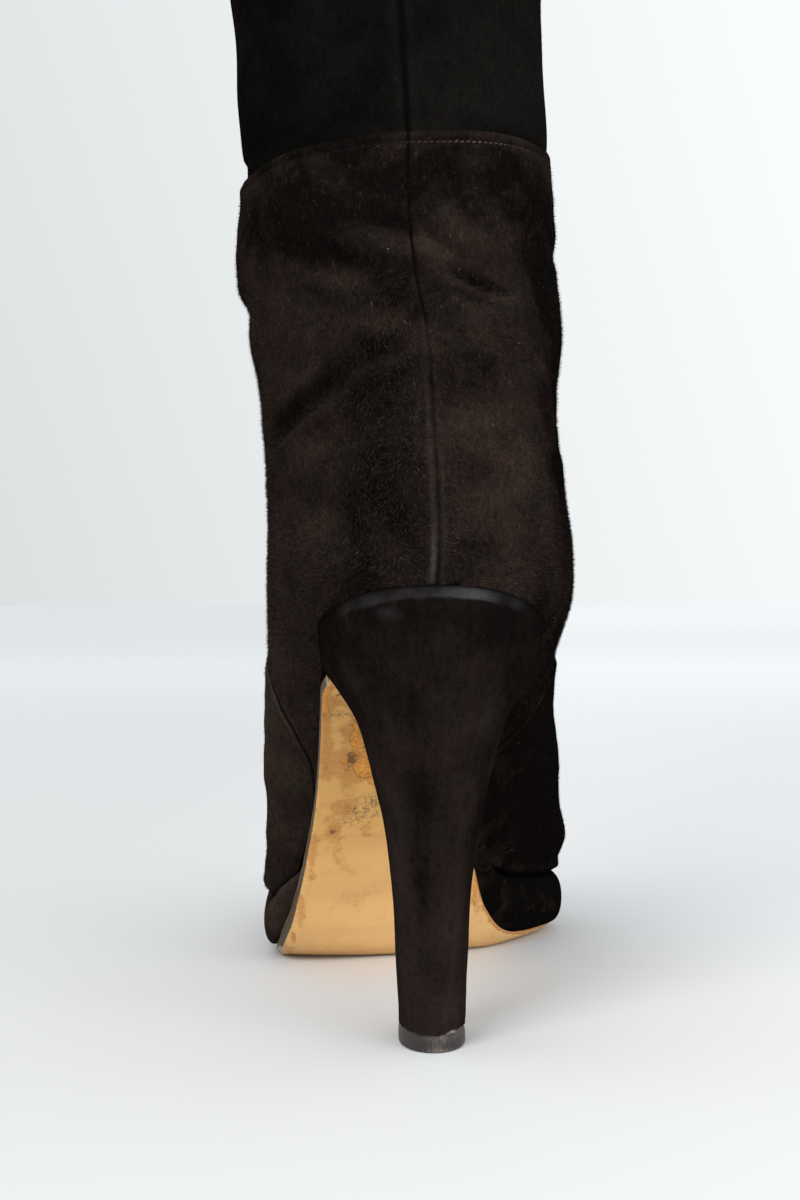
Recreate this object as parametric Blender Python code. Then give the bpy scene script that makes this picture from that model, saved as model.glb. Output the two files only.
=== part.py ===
"""Left over-the-knee boot: high covered heel, hidden platform, leather sole and a tall leg.

Metres, +Z up. The toe points along +Y and +X is the inner side of the foot. The tables hold
millimetres on the pattern last, measured from the heel's rearmost point down on the floor, and
the driving dimensions scale them. An empty carries the whole boot, so that the origin lies on
the floor under the middle of its bounding box.
"""

import math
from typing import NamedTuple

import bmesh
import bpy
from mathutils import Vector

# Driving dimensions.
LAST_LENGTH = 0.240
BALL_WIDTH = 0.081
SEAT_HEIGHT = 0.1095
SHAFT_TOP = 0.690

# Real thicknesses and clearances, which don't grow with the last.
UPPER_WALL = 0.0018
SHAFT_WALL = 0.0015
INSOLE_THICKNESS = 0.002
TIP_THICKNESS = 0.006
GAP = 0.0003
INSOLE_INSET = UPPER_WALL + 0.0009
INSOLE_LIFT = 0.00015
PLATFORM_BULGE = 0.004
PLATFORM_CORNER = 0.0031
PLATFORM_EDGE = 0.001

# The pattern last that the tables were drawn on, in millimetres.
PATTERN_LENGTH = 240.0
PATTERN_BALL_WIDTH = 81.0
PATTERN_SEAT_HEIGHT = 109.5
PATTERN_SHAFT_TOP = 690.0
ALONG = LAST_LENGTH / PATTERN_LENGTH
ACROSS = BALL_WIDTH / PATTERN_BALL_WIDTH
UP = SEAT_HEIGHT / PATTERN_SEAT_HEIGHT
LEG_UP = (SHAFT_TOP - SEAT_HEIGHT) / (PATTERN_SHAFT_TOP - PATTERN_SEAT_HEIGHT)

# Facets.
COLUMNS = 28
HALVING_DISTANCE = 3.0
HEEL_POINTS = 28
SLAB_COLUMNS = 8
SHAFT_RING_SPACING = 40.0

# Where the sole pieces begin and end along the last, in millimetres.
SOLE_START = 55.0
PLATFORM_START = 111.5
SEAT_WIDTH = 54.2
SEAT_BREAST = 54.6
TIP_REAR = 12.0
TIP_FRONT = 36.0
TIP_WIDTH = 16.0


class SoleRow(NamedTuple):
    """The last's bottom at one station: its feather edge and what is stacked below it."""

    y: float
    z: float
    lateral: float
    medial: float
    swing: float
    platform: float
    sole: float


class Section(NamedTuple):
    """One slanting section of the leg or foot, from its back or lower end to its crest."""

    back_x: float
    back_y: float
    back_z: float
    crest_x: float
    crest_y: float
    crest_z: float
    lateral: float
    medial: float
    belly: float


class HeelSection(NamedTuple):
    """One level of the heel: its rear and breast ends and its width."""

    rear_y: float
    rear_z: float
    breast_y: float
    breast_z: float
    width: float


SOLE_LINE = [
    SoleRow(0.0, 109.5, 0.0, 0.0, 0.0, 0.0, 2.2),
    SoleRow(1.5, 109.1, 8.9, 8.9, 0.0, 0.0, 2.2),
    SoleRow(5.0, 107.9, 15.6, 15.6, 0.0, 0.0, 2.2),
    SoleRow(12.0, 105.2, 22.3, 22.3, 0.0, 0.0, 2.2),
    SoleRow(22.0, 101.6, 26.3, 26.2, 0.0, 0.0, 2.2),
    SoleRow(38.0, 96.2, 27.4, 26.4, 0.0, 0.0, 2.2),
    SoleRow(55.0, 88.1, 27.3, 24.4, 0.0, 0.0, 2.2),
    SoleRow(70.0, 75.5, 27.8, 19.2, 0.04, 0.0, 2.2),
    SoleRow(88.0, 58.5, 29.0, 15.4, 0.11, 0.0, 2.3),
    SoleRow(105.0, 41.0, 31.6, 14.2, 0.22, 0.0, 2.6),
    SoleRow(118.0, 28.6, 35.2, 17.4, 0.32, 3.2, 2.8),
    SoleRow(130.0, 22.0, 39.0, 26.6, 0.40, 8.5, 3.0),
    SoleRow(142.0, 19.2, 41.2, 38.0, 0.45, 13.0, 3.0),
    SoleRow(152.0, 18.6, 41.9, 43.6, 0.45, 15.0, 3.0),
    SoleRow(170.0, 18.6, 42.2, 42.4, 0.42, 15.0, 3.0),
    SoleRow(190.0, 18.6, 40.4, 37.0, 0.35, 15.0, 3.0),
    SoleRow(205.0, 20.0, 37.0, 31.4, 0.28, 15.0, 3.0),
    SoleRow(220.0, 22.9, 29.8, 23.4, 0.20, 15.0, 3.0),
    SoleRow(230.0, 25.3, 21.8, 16.4, 0.15, 15.0, 3.0),
    SoleRow(237.0, 27.2, 12.6, 9.2, 0.12, 15.0, 3.0),
    SoleRow(240.0, 28.1, 0.0, 0.0, 0.10, 15.0, 3.0),
]

# A closed ring has no open bottom.
CLOSED = SoleRow(0.0, 0.0, 0.0, 0.0, 0.0, 0.0, 0.0)

# Between the sole's edges the tread runs ahead of its station, most a little to the inner side,
# so that it comes down to the floor in a curve. It is flat on the floor from TREAD_FLAT on.
TREAD_ADVANCE = 17.0
TREAD_MIDDLE = 8.0
TREAD_HALF_WIDTH = 48.0
TREAD_START = 115.0
TREAD_FULL = 135.0
TREAD_FLAT = 152.0

# From the leg's top edge down to the heel seat, then along the same stations as the bottom.
UPPER_SECTIONS = [
    Section(-6.3, 7.0, 213.5, -8.8, 100.0, 213.5, 48.2, 31.1, 0.50),
    Section(-6.0, 6.5, 195.0, -8.6, 100.0, 200.0, 48.2, 31.2, 0.50),
    Section(-4.4, 5.5, 180.0, -8.1, 100.5, 190.0, 47.6, 31.4, 0.50),
    Section(-2.0, 5.0, 168.0, -6.5, 101.0, 183.5, 44.9, 32.0, 0.50),
    Section(-0.6, 2.6, 148.0, -6.0, 102.6, 174.0, 43.4, 31.4, 0.505),
    Section(0.3, 0.3, 130.0, -5.0, 104.8, 166.0, 42.2, 31.8, 0.52),
    Section(0.6, -0.5, 119.0, -3.8, 106.8, 160.5, 41.2, 33.8, 0.535),
    Section(0.0, 0.0, 109.5, -3.0, 108.5, 156.0, 40.8, 35.4, 0.55),
    Section(0.0, 1.5, 109.3, -2.9, 109.3, 154.6, 40.8, 35.7, 0.55),
    Section(0.0, 5.0, 108.8, -2.6, 110.6, 152.0, 40.7, 36.2, 0.55),
    Section(0.0, 12.0, 107.3, -2.2, 112.5, 148.4, 40.7, 37.2, 0.55),
    Section(0.0, 22.0, 104.3, -1.6, 115.0, 143.6, 41.0, 38.4, 0.54),
    Section(0.0, 38.0, 98.5, -0.8, 119.5, 136.5, 41.6, 39.6, 0.53),
    Section(0.0, 55.0, 88.5, 0.0, 125.0, 128.4, 42.3, 40.2, 0.51),
    Section(0.0, 70.0, 75.5, 0.9, 130.5, 119.6, 42.8, 39.9, 0.49),
    Section(0.0, 88.0, 58.5, 1.8, 137.5, 108.4, 43.4, 39.9, 0.46),
    Section(0.0, 105.0, 41.0, 2.6, 145.0, 96.5, 43.5, 40.8, 0.43),
    Section(0.0, 118.0, 28.6, 3.1, 151.5, 86.8, 43.5, 42.8, 0.39),
    Section(0.0, 130.0, 22.0, 3.4, 158.5, 78.4, 43.8, 44.6, 0.36),
    Section(0.0, 142.0, 19.2, 3.5, 166.0, 71.2, 44.5, 45.6, 0.33),
    Section(0.0, 152.0, 18.6, 3.5, 172.5, 66.4, 45.0, 46.2, 0.31),
    Section(0.0, 170.0, 18.6, 3.2, 185.5, 59.4, 45.3, 45.0, 0.30),
    Section(0.0, 190.0, 18.6, 2.7, 200.0, 53.0, 43.7, 39.6, 0.30),
    Section(0.0, 205.0, 20.0, 2.0, 211.5, 49.0, 39.9, 33.8, 0.31),
    Section(0.0, 220.0, 22.9, 1.2, 224.2, 44.8, 32.3, 25.4, 0.33),
    Section(0.0, 230.0, 25.3, 0.6, 233.0, 41.4, 23.8, 18.0, 0.36),
    Section(0.0, 237.0, 27.2, 0.2, 238.9, 37.0, 14.2, 10.6, 0.40),
    Section(0.0, 240.0, 28.1, 0.0, 240.0, 28.1, 0.0, 0.0, 0.40),
]
SEAT_SECTION = 7
LEAST_FULLNESS = 1.04

# The top edge rises this much towards the inner side, fading out over the first sections.
EDGE_BANK = 0.07
BANKED_SECTIONS = 2.0

# The shaft's lower end is tucked into the upper: from this far below its top edge to this far above.
TUCK_DEPTH = 7.0
TUCK_RISE = 3.5

# Level sections of the leg above the tucked end.
SHAFT_SECTIONS = [
    Section(-6.6, 8.4, 222.0, -9.2, 99.6, 222.0, 47.6, 30.2, 0.50),
    Section(-8.4, 7.5, 258.0, -10.4, 102.5, 258.0, 50.2, 29.6, 0.50),
    Section(-8.4, 5.0, 310.0, -9.6, 107.0, 310.0, 55.2, 36.0, 0.50),
    Section(-7.0, 1.0, 360.0, -8.2, 113.0, 360.0, 60.2, 43.8, 0.50),
    Section(-5.5, -2.5, 410.0, -6.6, 116.5, 410.0, 61.8, 48.4, 0.50),
    Section(-5.0, -1.5, 460.0, -5.4, 115.5, 460.0, 60.4, 49.6, 0.50),
    Section(-4.8, 1.5, 510.0, -4.8, 114.5, 510.0, 57.8, 48.2, 0.50),
    Section(-4.6, 1.5, 550.0, -4.6, 117.0, 550.0, 58.9, 49.7, 0.50),
    Section(-4.4, -1.5, 600.0, -4.4, 122.5, 600.0, 62.6, 53.8, 0.50),
    Section(-4.2, -4.5, 645.0, -4.2, 127.5, 645.0, 66.4, 58.0, 0.50),
    Section(-4.0, -7.0, 690.0, -4.0, 131.0, 690.0, 70.0, 62.0, 0.50),
]

# From under the seat down to the top of the rubber tip.
HEEL_SECTIONS = [
    HeelSection(0.6, 102.0, 53.4, 84.4, 52.8),
    HeelSection(2.2, 93.0, 50.8, 80.0, 45.6),
    HeelSection(4.6, 82.5, 46.8, 73.5, 36.8),
    HeelSection(6.8, 72.0, 43.4, 66.0, 31.0),
    HeelSection(8.6, 61.0, 40.6, 57.5, 26.2),
    HeelSection(10.0, 50.0, 38.4, 48.5, 22.4),
    HeelSection(11.0, 38.0, 37.2, 37.5, 19.4),
    HeelSection(11.6, 25.0, 36.4, 25.0, 17.6),
    HeelSection(TIP_REAR, 6.3, TIP_FRONT, 6.3, TIP_WIDTH),
]
HEEL_WIDEST = 0.52
HEEL_BACK_POWER = 2.0
HEEL_BREAST_POWER = 4.0

# Each material's red, green and blue, roughness and metallic value.
SUEDE = ((0.022, 0.015, 0.011), 0.95, 0.0)
SHAFT_SUEDE = ((0.010, 0.007, 0.006), 0.95, 0.0)
HEEL_SUEDE = ((0.018, 0.012, 0.009), 0.92, 0.0)
SOLE_LEATHER = ((0.56, 0.33, 0.15), 0.55, 0.0)
INSOLE_LEATHER = ((0.36, 0.24, 0.15), 0.65, 0.0)
TIP_RUBBER = ((0.07, 0.06, 0.055), 0.75, 0.0)

SMOOTH_ANGLE = math.radians(40.0)
MERGE_DISTANCE = 1e-6
NEAR_STATION = 0.2
NEAR_SHARE = 0.002
SNAP_SHARE = 0.6

# Runs of the upper without a break: its closed rings, and its arches over the foot.
LEG_ZONE = (0.0, SEAT_SECTION, True)
FOOT_ZONE = (SEAT_SECTION + NEAR_SHARE, len(UPPER_SECTIONS) - 1, False)
POINTED = 1e-6


def end_limited_slope(xs, ys, i):
    """Slope of a curve through the points at point i, flat where the run turns back."""
    if i == 0 or i == len(xs) - 1:
        j = min(i, len(xs) - 2)
        return (ys[j + 1] - ys[j]) / (xs[j + 1] - xs[j])
    before = (ys[i] - ys[i - 1]) / (xs[i] - xs[i - 1])
    after = (ys[i + 1] - ys[i]) / (xs[i + 1] - xs[i])
    if before * after <= 0.0:
        return 0.0
    return 2.0 * before * after / (before + after)


def curve_through(xs, ys, x):
    """Value at x of a smooth curve that never overshoots its points."""
    i = max(k for k in range(len(xs) - 1) if k == 0 or xs[k] <= x)
    width = xs[i + 1] - xs[i]
    t = (x - xs[i]) / width
    start = end_limited_slope(xs, ys, i) * width
    end = end_limited_slope(xs, ys, i + 1) * width
    rise = ys[i + 1] - ys[i]
    return ys[i] + t * (start + t * (3.0 * rise - 2.0 * start - end + t * (start + end - 2.0 * rise)))


def sole_row(y):
    """The last's bottom at station y."""
    stations = [row.y for row in SOLE_LINE]
    return SoleRow(*(curve_through(stations, column, y) for column in zip(*SOLE_LINE)))


def row_between(rows, place):
    """A table's row at a fractional place, on a smooth curve through its neighbours."""
    i = min(int(place), len(rows) - 2)
    t = place - i
    four = (rows[max(i - 1, 0)], rows[i], rows[i + 1], rows[min(i + 2, len(rows) - 1)])
    values = []
    for a, b, c, d in zip(*four):
        bend = (2.0 * a - 5.0 * b + 4.0 * c - d) + t * (3.0 * b - a - 3.0 * c + d)
        values.append(b + 0.5 * t * ((c - a) + t * bend))
    return type(rows[0])(*values)


def height(z):
    """Metres above the floor of a pattern height: the foot and the leg scale apart."""
    if z <= PATTERN_SEAT_HEIGHT:
        return z * UP
    return SEAT_HEIGHT + (z - PATTERN_SEAT_HEIGHT) * LEG_UP


def lowest_angle(section, bottom):
    """Angle below the belly at which a section meets the last's bottom; a ring goes all round."""
    half = (section.medial + section.lateral) / 2.0
    if half == 0.0:
        return math.pi / 2.0
    return math.acos(min((bottom.lateral + bottom.medial) / 2.0 / half, 1.0))


def section_point(section, bottom, share):
    """Point on a section: share runs from -1 at its outer lower end, over 0 on the crest, to 1."""
    middle = (section.medial - section.lateral) / 2.0
    half = (section.medial + section.lateral) / 2.0
    ringed = bottom.lateral + bottom.medial == 0.0
    seat_middle = section.back_x if ringed else (bottom.medial - bottom.lateral) / 2.0
    angle = math.pi / 2.0 - abs(share) * math.pi
    if angle < 0.0:
        rise = 1.0 + math.sin(angle) / math.sin(lowest_angle(section, bottom))
        fraction = section.belly * rise
        centre = seat_middle + (middle - seat_middle) * rise
    else:
        fraction = section.belly + (1.0 - section.belly) * math.sin(angle)
        centre = middle + (section.crest_x - middle) * math.sin(angle) ** 2
    x = centre + math.copysign(half * math.cos(angle), share)
    y = section.back_y + (section.crest_y - section.back_y) * fraction + bottom.swing * x
    z = section.back_z + (section.crest_z - section.back_z) * fraction
    return Vector((x * ACROSS, y * ALONG, height(z)))


def upper_section(place):
    """The upper's section at a place in its table, and the last's bottom under it."""
    section = row_between(UPPER_SECTIONS, place)
    if place <= SEAT_SECTION:
        return section, CLOSED
    i = min(int(place), len(UPPER_SECTIONS) - 2)
    before = UPPER_SECTIONS[i].back_y
    after = UPPER_SECTIONS[i + 1].back_y
    bottom = sole_row(before + (after - before) * (place - i))
    lateral = max(section.lateral, bottom.lateral * LEAST_FULLNESS)
    medial = max(section.medial, bottom.medial * LEAST_FULLNESS)
    return section._replace(back_y=bottom.y, back_z=bottom.z, lateral=lateral, medial=medial), bottom


def upper_point(place, share):
    """Point on the upper's outer surface: closed rings down the leg, arches over the foot."""
    section, bottom = upper_section(place)
    point = section_point(section, bottom, share)
    bank = EDGE_BANK * max(1.0 - place / BANKED_SECTIONS, 0.0)
    point.z += (point.x - section.back_x * ACROSS) * bank
    return point


def upper_shares(place):
    """Places of a row's points; those that would lie below the feather edge gather on it."""
    end = 0.5 + lowest_angle(*upper_section(place)) / math.pi
    near = end - SNAP_SHARE / COLUMNS
    return [share if abs(share) < near else math.copysign(end, share) for share in shares()]


def tucked(section, z):
    """The upper's top section drawn in by its wall and the gap, at height z."""
    tuck = (UPPER_WALL + GAP) / ACROSS
    return section._replace(
        back_y=section.back_y + tuck,
        back_z=z,
        crest_y=section.crest_y - tuck,
        crest_z=z,
        lateral=section.lateral - tuck,
        medial=section.medial - tuck,
    )


def shaft_sections():
    """The shaft's sections from its tucked end to its top edge."""
    edge = UPPER_SECTIONS[0]
    low = tucked(edge, edge.back_z - TUCK_DEPTH)
    high = tucked(edge, edge.back_z + TUCK_RISE)
    return [low, high] + SHAFT_SECTIONS


def shaft_point(place, share):
    """Point on the shaft's outer surface; place runs down from its top edge."""
    sections = shaft_sections()[::-1]
    return section_point(row_between(sections, place), CLOSED, share)


def wall_point(point_at, place, share, zone, wall):
    """Point a wall's thickness inside a surface and square to it.

    The zone is the smooth run of places that the point lies in, and whether it is closed rings.
    """
    first, last, ringed = zone
    left = share - NEAR_SHARE
    right = share + NEAR_SHARE
    if ringed and abs(share) == 1.0:
        left = 1.0 - NEAR_SHARE
        right = NEAR_SHARE - 1.0
    across = point_at(place, right) - point_at(place, left)
    above = point_at(max(place - NEAR_SHARE, first), share)
    down = point_at(min(place + NEAR_SHARE, last), share) - above
    return point_at(place, share) - wall * across.cross(down).normalized()


def plan_point(y, side, outset):
    """Point in plan on the sole's outline at station y, moved out by outset."""
    row = sole_row(y)
    half = row.medial if side > 0 else row.lateral
    if half < POINTED:
        facing = -1.0 if y < PATTERN_LENGTH / 2.0 else 1.0
        return Vector((0.0, y * ALONG + facing * outset))
    ends = []
    for near in (max(y - NEAR_STATION, 0.0), min(y + NEAR_STATION, PATTERN_LENGTH)):
        edge = sole_row(near)
        x = side * (edge.medial if side > 0 else edge.lateral)
        ends.append(Vector((x * ACROSS, (near + edge.swing * x) * ALONG)))
    run = (ends[1] - ends[0]).normalized()
    x = side * half
    return Vector((x * ACROSS, (y + row.swing * x) * ALONG)) + outset * side * Vector((run.y, -run.x))


def station_at(x, y):
    """Station of the last's bottom that passes through a point in plan, in millimetres."""
    station = y / ALONG
    for _ in range(6):
        reach = min(max(station, 0.0), PATTERN_LENGTH)
        station = y / ALONG - sole_row(reach).swing * x / ACROSS
    return min(max(station, 0.0), PATTERN_LENGTH)


def surface_height(station, depth):
    """Height at a station of the surface that lies depth(row) square to the feather line."""
    row = sole_row(station)
    low = sole_row(max(station - NEAR_STATION, 0.0))
    high = sole_row(min(station + NEAR_STATION, PATTERN_LENGTH))
    slope = (high.z - low.z) * UP / ((high.y - low.y) * ALONG)
    return row.z * UP - depth(row) * math.hypot(1.0, slope)


def tread_sag(station, x):
    """How far the tread at x lies below the sole's edges of the same station."""
    across = (x / ACROSS - TREAD_MIDDLE) / TREAD_HALF_WIDTH
    ramp = min(max((station - TREAD_START) / (TREAD_FULL - TREAD_START), 0.0), 1.0)
    advance = TREAD_ADVANCE * max(1.0 - across * across, 0.0) * ramp * ramp * (3.0 - 2.0 * ramp)
    ahead = min(station + advance, max(station, TREAD_FLAT))
    return surface_height(station, sole_bottom) - surface_height(ahead, sole_bottom)


def below_feather(point, depth, settled=0.0):
    """Point in space under or over a plan point, with a share of the tread's sag."""
    station = station_at(point.x, point.y)
    z = surface_height(station, depth)
    if settled > 0.0:
        z -= settled * tread_sag(station, point.x)
    return Vector((point.x, point.y, z))


def insole_top(row):
    """Depth of the insole board's upper face, above the feather edge."""
    return -INSOLE_LIFT - INSOLE_THICKNESS


def insole_bottom(row):
    """Depth of the insole board's lower face, a hair above the feather edge."""
    return -INSOLE_LIFT


def platform_top(row):
    """Depth of the platform's upper face."""
    return GAP


def platform_bottom(row):
    """Depth of the platform's lower face."""
    return GAP + row.platform * UP


def sole_top(row):
    """The leather sole lies one gap below the feather edge, or below the platform."""
    return platform_bottom(row) + GAP * min(row.platform, 1.0)


def sole_bottom(row):
    """Depth of the leather sole's lower face."""
    return sole_top(row) + row.sole * UP


def blended(top, bottom, share):
    """Depth at a share of the way from one surface of a slab down to the other."""

    def depth(row):
        return top(row) * (1.0 - share) + bottom(row) * share
    return depth


def slab_loop(y, levels):
    """Closed loop round a slab at station y.

    Each level, from top to bottom, is a depth, an outset and its share of the tread's sag.
    """
    rows = []
    for depth, outset, settled in levels:
        ends = [plan_point(y, side, outset) for side in (-1.0, 1.0)]
        rows.append([ends, depth, settled])
    loop = []
    for step in range(SLAB_COLUMNS + 1):
        (left, right), depth, settled = rows[0]
        loop.append(below_feather(left.lerp(right, step / SLAB_COLUMNS), depth, settled))
    for (_, right), depth, settled in rows[1:-1]:
        loop.append(below_feather(right, depth, settled))
    for step in range(SLAB_COLUMNS + 1):
        (left, right), depth, settled = rows[-1]
        loop.append(below_feather(right.lerp(left, step / SLAB_COLUMNS), depth, settled))
    for (left, _), depth, settled in reversed(rows[1:-1]):
        loop.append(below_feather(left, depth, settled))
    return loop


def halved(points):
    """Each point's place in its row and, where the next one is far enough off, a place halfway."""
    places = []
    for i, (point, following) in enumerate(zip(points, points[1:])):
        places.append(float(i))
        if math.dist(point, following) >= HALVING_DISTANCE:
            places.append(i + 0.5)
    return places + [float(len(points) - 1)]


def stations(start):
    """Stations from start to the toe: the bottom's own rows and those halfway between them."""
    placed = []
    for place in halved([(row.y, row.z) for row in SOLE_LINE]):
        i = min(int(place), len(SOLE_LINE) - 2)
        placed.append(SOLE_LINE[i].y + (SOLE_LINE[i + 1].y - SOLE_LINE[i].y) * (place - i))
    return [y for y in placed if y >= start]


def skin(mesh, rings, closed):
    """Faces between neighbouring rings; closed joins each ring's last point to its first."""
    rows = [[mesh.verts.new(point) for point in ring] for ring in rings]
    for upper, lower in zip(rows, rows[1:]):
        count = len(upper)
        for j in range(count if closed else count - 1):
            k = (j + 1) % count
            mesh.faces.new((upper[j], upper[k], lower[k], lower[j]))
    return rows


def weld(mesh):
    """Merge the points that meet at a seam or a pole, and drop what collapses there."""
    bmesh.ops.remove_doubles(mesh, verts=mesh.verts, dist=MERGE_DISTANCE)
    bmesh.ops.dissolve_degenerate(mesh, edges=mesh.edges, dist=MERGE_DISTANCE)


def material(name, finish):
    """Principled material with a colour, a roughness and a metallic value."""
    colour, roughness, metallic = finish
    made = bpy.data.materials.new(name)
    made.use_nodes = True
    shader = made.node_tree.nodes["Principled BSDF"]
    shader.inputs["Base Color"].default_value = (*colour, 1.0)
    shader.inputs["Roughness"].default_value = roughness
    shader.inputs["Metallic"].default_value = metallic
    return made


def finished(name, mesh, finish, parent):
    """Turn a closed bmesh into a named, smooth-shaded object under the boot's empty."""
    weld(mesh)
    bmesh.ops.recalc_face_normals(mesh, faces=mesh.faces)
    bmesh.ops.triangulate(mesh, faces=mesh.faces, quad_method="SHORT_EDGE", ngon_method="BEAUTY")
    data = bpy.data.meshes.new(name)
    mesh.to_mesh(data)
    mesh.free()
    data.shade_smooth()
    data.set_sharp_from_angle(angle=SMOOTH_ANGLE)
    data.materials.append(material(name, finish))
    made = bpy.data.objects.new(name, data)
    made.parent = parent
    bpy.context.scene.collection.objects.link(made)
    return made


def shares():
    """Places across a section, from its outer lower end over the crest to the inner one."""
    return [2.0 * column / COLUMNS - 1.0 for column in range(COLUMNS + 1)]


def rim(mesh, outer, inner):
    """Faces that join the edges of two surfaces point by point."""
    for i in range(len(outer) - 1):
        corners = (outer[i], outer[i + 1], inner[i + 1], inner[i])
        mesh.faces.new(corners)


def slab(name, loops, finish, parent):
    """A closed slab lofted through its loops."""
    mesh = bmesh.new()
    rows = skin(mesh, loops, closed=True)
    mesh.faces.new(rows[0])
    return finished(name, mesh, finish, parent)


def upper(parent):
    """The foot and ankle in one wall, open at its top edge and along the feather edge."""
    outer = []
    inner = []
    last = len(UPPER_SECTIONS) - 1
    rows = halved([(section.back_y, section.back_z) for section in UPPER_SECTIONS])
    for place in rows[:-1]:
        zone = LEG_ZONE if place <= SEAT_SECTION else FOOT_ZONE
        places = upper_shares(place)
        outer.append([upper_point(place, share) for share in places])
        inner.append([wall_point(upper_point, place, share, zone, UPPER_WALL) for share in places])
        for edge in (0, -1):
            inner[-1][edge].z = max(inner[-1][edge].z, outer[-1][edge].z)
    toe = upper_point(last, 0.0)
    outer.append([toe] * (COLUMNS + 1))
    inner.append([toe - Vector((0.0, UPPER_WALL, 0.0))] * (COLUMNS + 1))
    mesh = bmesh.new()
    outside = skin(mesh, outer, closed=False)
    inside = skin(mesh, inner, closed=False)
    rim(mesh, outside[0], inside[0])
    open_rows = [i for i, place in enumerate(rows) if place >= SEAT_SECTION]
    for edge in (0, -1):
        rim(mesh, [outside[i][edge] for i in open_rows], [inside[i][edge] for i in open_rows])
    return finished("upper", mesh, SUEDE, parent)


def shaft(parent):
    """The leg above the upper, a tube that comes out from inside its top edge."""
    sections = shaft_sections()[::-1]
    places = []
    for i, (upper_one, lower_one) in enumerate(zip(sections, sections[1:])):
        steps = max(1, round((upper_one.back_z - lower_one.back_z) / SHAFT_RING_SPACING))
        places += [i + step / steps for step in range(steps)]
    places.append(len(sections) - 1)
    zone = (0.0, len(sections) - 1, True)
    outer = []
    inner = []
    for place in places:
        outer.append([shaft_point(place, share) for share in shares()])
        inner.append([wall_point(shaft_point, place, share, zone, SHAFT_WALL) for share in shares()])
    mesh = bmesh.new()
    outside = skin(mesh, outer, closed=False)
    inside = skin(mesh, inner, closed=False)
    rim(mesh, outside[0], inside[0])
    rim(mesh, outside[-1], inside[-1])
    return finished("shaft", mesh, SHAFT_SUEDE, parent)


def insole(parent):
    """The board inside the upper, clear of its wall all round."""
    levels = ((insole_top, -INSOLE_INSET, 0.0), (insole_bottom, -INSOLE_INSET, 0.0))
    loops = [slab_loop(y, levels) for y in stations(0.0)]
    mesh = bmesh.new()
    skin(mesh, loops, closed=True)
    return finished("insole", mesh, INSOLE_LEATHER, parent)


def platform(parent):
    """The covered platform, a little rounder than the sole on its sides."""
    levels = (
        (platform_top, PLATFORM_EDGE, 0.0),
        (blended(platform_top, platform_bottom, 0.14), PLATFORM_CORNER, 0.14),
        (blended(platform_top, platform_bottom, 0.5), PLATFORM_BULGE, 0.5),
        (blended(platform_top, platform_bottom, 0.86), PLATFORM_CORNER, 0.86),
        (platform_bottom, PLATFORM_EDGE, 1.0),
    )
    loops = [slab_loop(y, levels) for y in stations(PLATFORM_START)]
    return slab("platform", loops, SUEDE, parent)


def outsole(parent):
    """The leather sole, from the heel's breast down the arch to the toe."""
    levels = ((sole_top, 0.0, 1.0), (sole_bottom, 0.0, 1.0))
    loops = [slab_loop(y, levels) for y in stations(SOLE_START)]
    return slab("outsole", loops, SOLE_LEATHER, parent)


def heel_ring(section):
    """Points round one level of the heel in plan, from its rear: round behind, flat in front."""
    depth = section.breast_y - section.rear_y
    middle = section.rear_y + depth * HEEL_WIDEST
    points = []
    for step in range(HEEL_POINTS):
        angle = 2.0 * math.pi * step / HEEL_POINTS
        back = -math.cos(angle)
        side = math.sin(angle)
        power = HEEL_BREAST_POWER if back > 0.0 else HEEL_BACK_POWER
        reach = section.breast_y - middle if back > 0.0 else middle - section.rear_y
        x = math.copysign(abs(side) ** (2.0 / power), side) * section.width / 2.0
        y = middle + math.copysign(abs(back) ** (2.0 / power), back) * reach
        share = (y - section.rear_y) / depth
        z = section.rear_z + (section.breast_z - section.rear_z) * share
        points.append(Vector((x * ACROSS, y * ALONG, z * UP)))
    return points


def ladder(mesh, ring):
    """Close a ring whose two sides mirror each other, rung by rung."""
    count = len(ring)
    for i in range(count // 2):
        corners = [ring[i], ring[i + 1], ring[count - i - 1], ring[(count - i) % count]]
        mesh.faces.new(list(dict.fromkeys(corners)))


def turned_block(name, rings, finish, parent):
    """A block lofted through rings and closed rung by rung at both ends."""
    mesh = bmesh.new()
    rows = skin(mesh, rings, closed=True)
    ladder(mesh, rows[0])
    ladder(mesh, rows[-1])
    return finished(name, mesh, finish, parent)


def heel(parent):
    """The covered heel, whose top follows the seat."""
    seat = HeelSection(0.0, SOLE_LINE[0].z, SEAT_BREAST, SOLE_LINE[0].z, SEAT_WIDTH)
    top = [below_feather(point.xy, platform_top) for point in heel_ring(seat)]
    rings = [top] + [heel_ring(section) for section in HEEL_SECTIONS]
    return turned_block("heel", rings, HEEL_SUEDE, parent)


def heel_tip(parent):
    """The rubber top piece that the heel stands on."""
    base = HeelSection(TIP_REAR, 0.0, TIP_FRONT, 0.0, TIP_WIDTH)
    bottom = heel_ring(base)
    top = [Vector((point.x, point.y, TIP_THICKNESS)) for point in bottom]
    return turned_block("heel_tip", [top, bottom], TIP_RUBBER, parent)


def main():
    for leftover in list(bpy.data.objects):
        bpy.data.objects.remove(leftover)
    leg_top = SHAFT_SECTIONS[-1]
    boot = bpy.data.objects.new("boot", None)
    bpy.context.scene.collection.objects.link(boot)
    toe = PATTERN_LENGTH * ALONG + PLATFORM_BULGE
    boot.location = (
        -(leg_top.medial - leg_top.lateral) / 2.0 * ACROSS,
        -(toe + leg_top.back_y * ALONG) / 2.0,
        0.0,
    )
    for make in (upper, shaft, insole, platform, outsole, heel, heel_tip):
        make(boot)


main()
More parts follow.
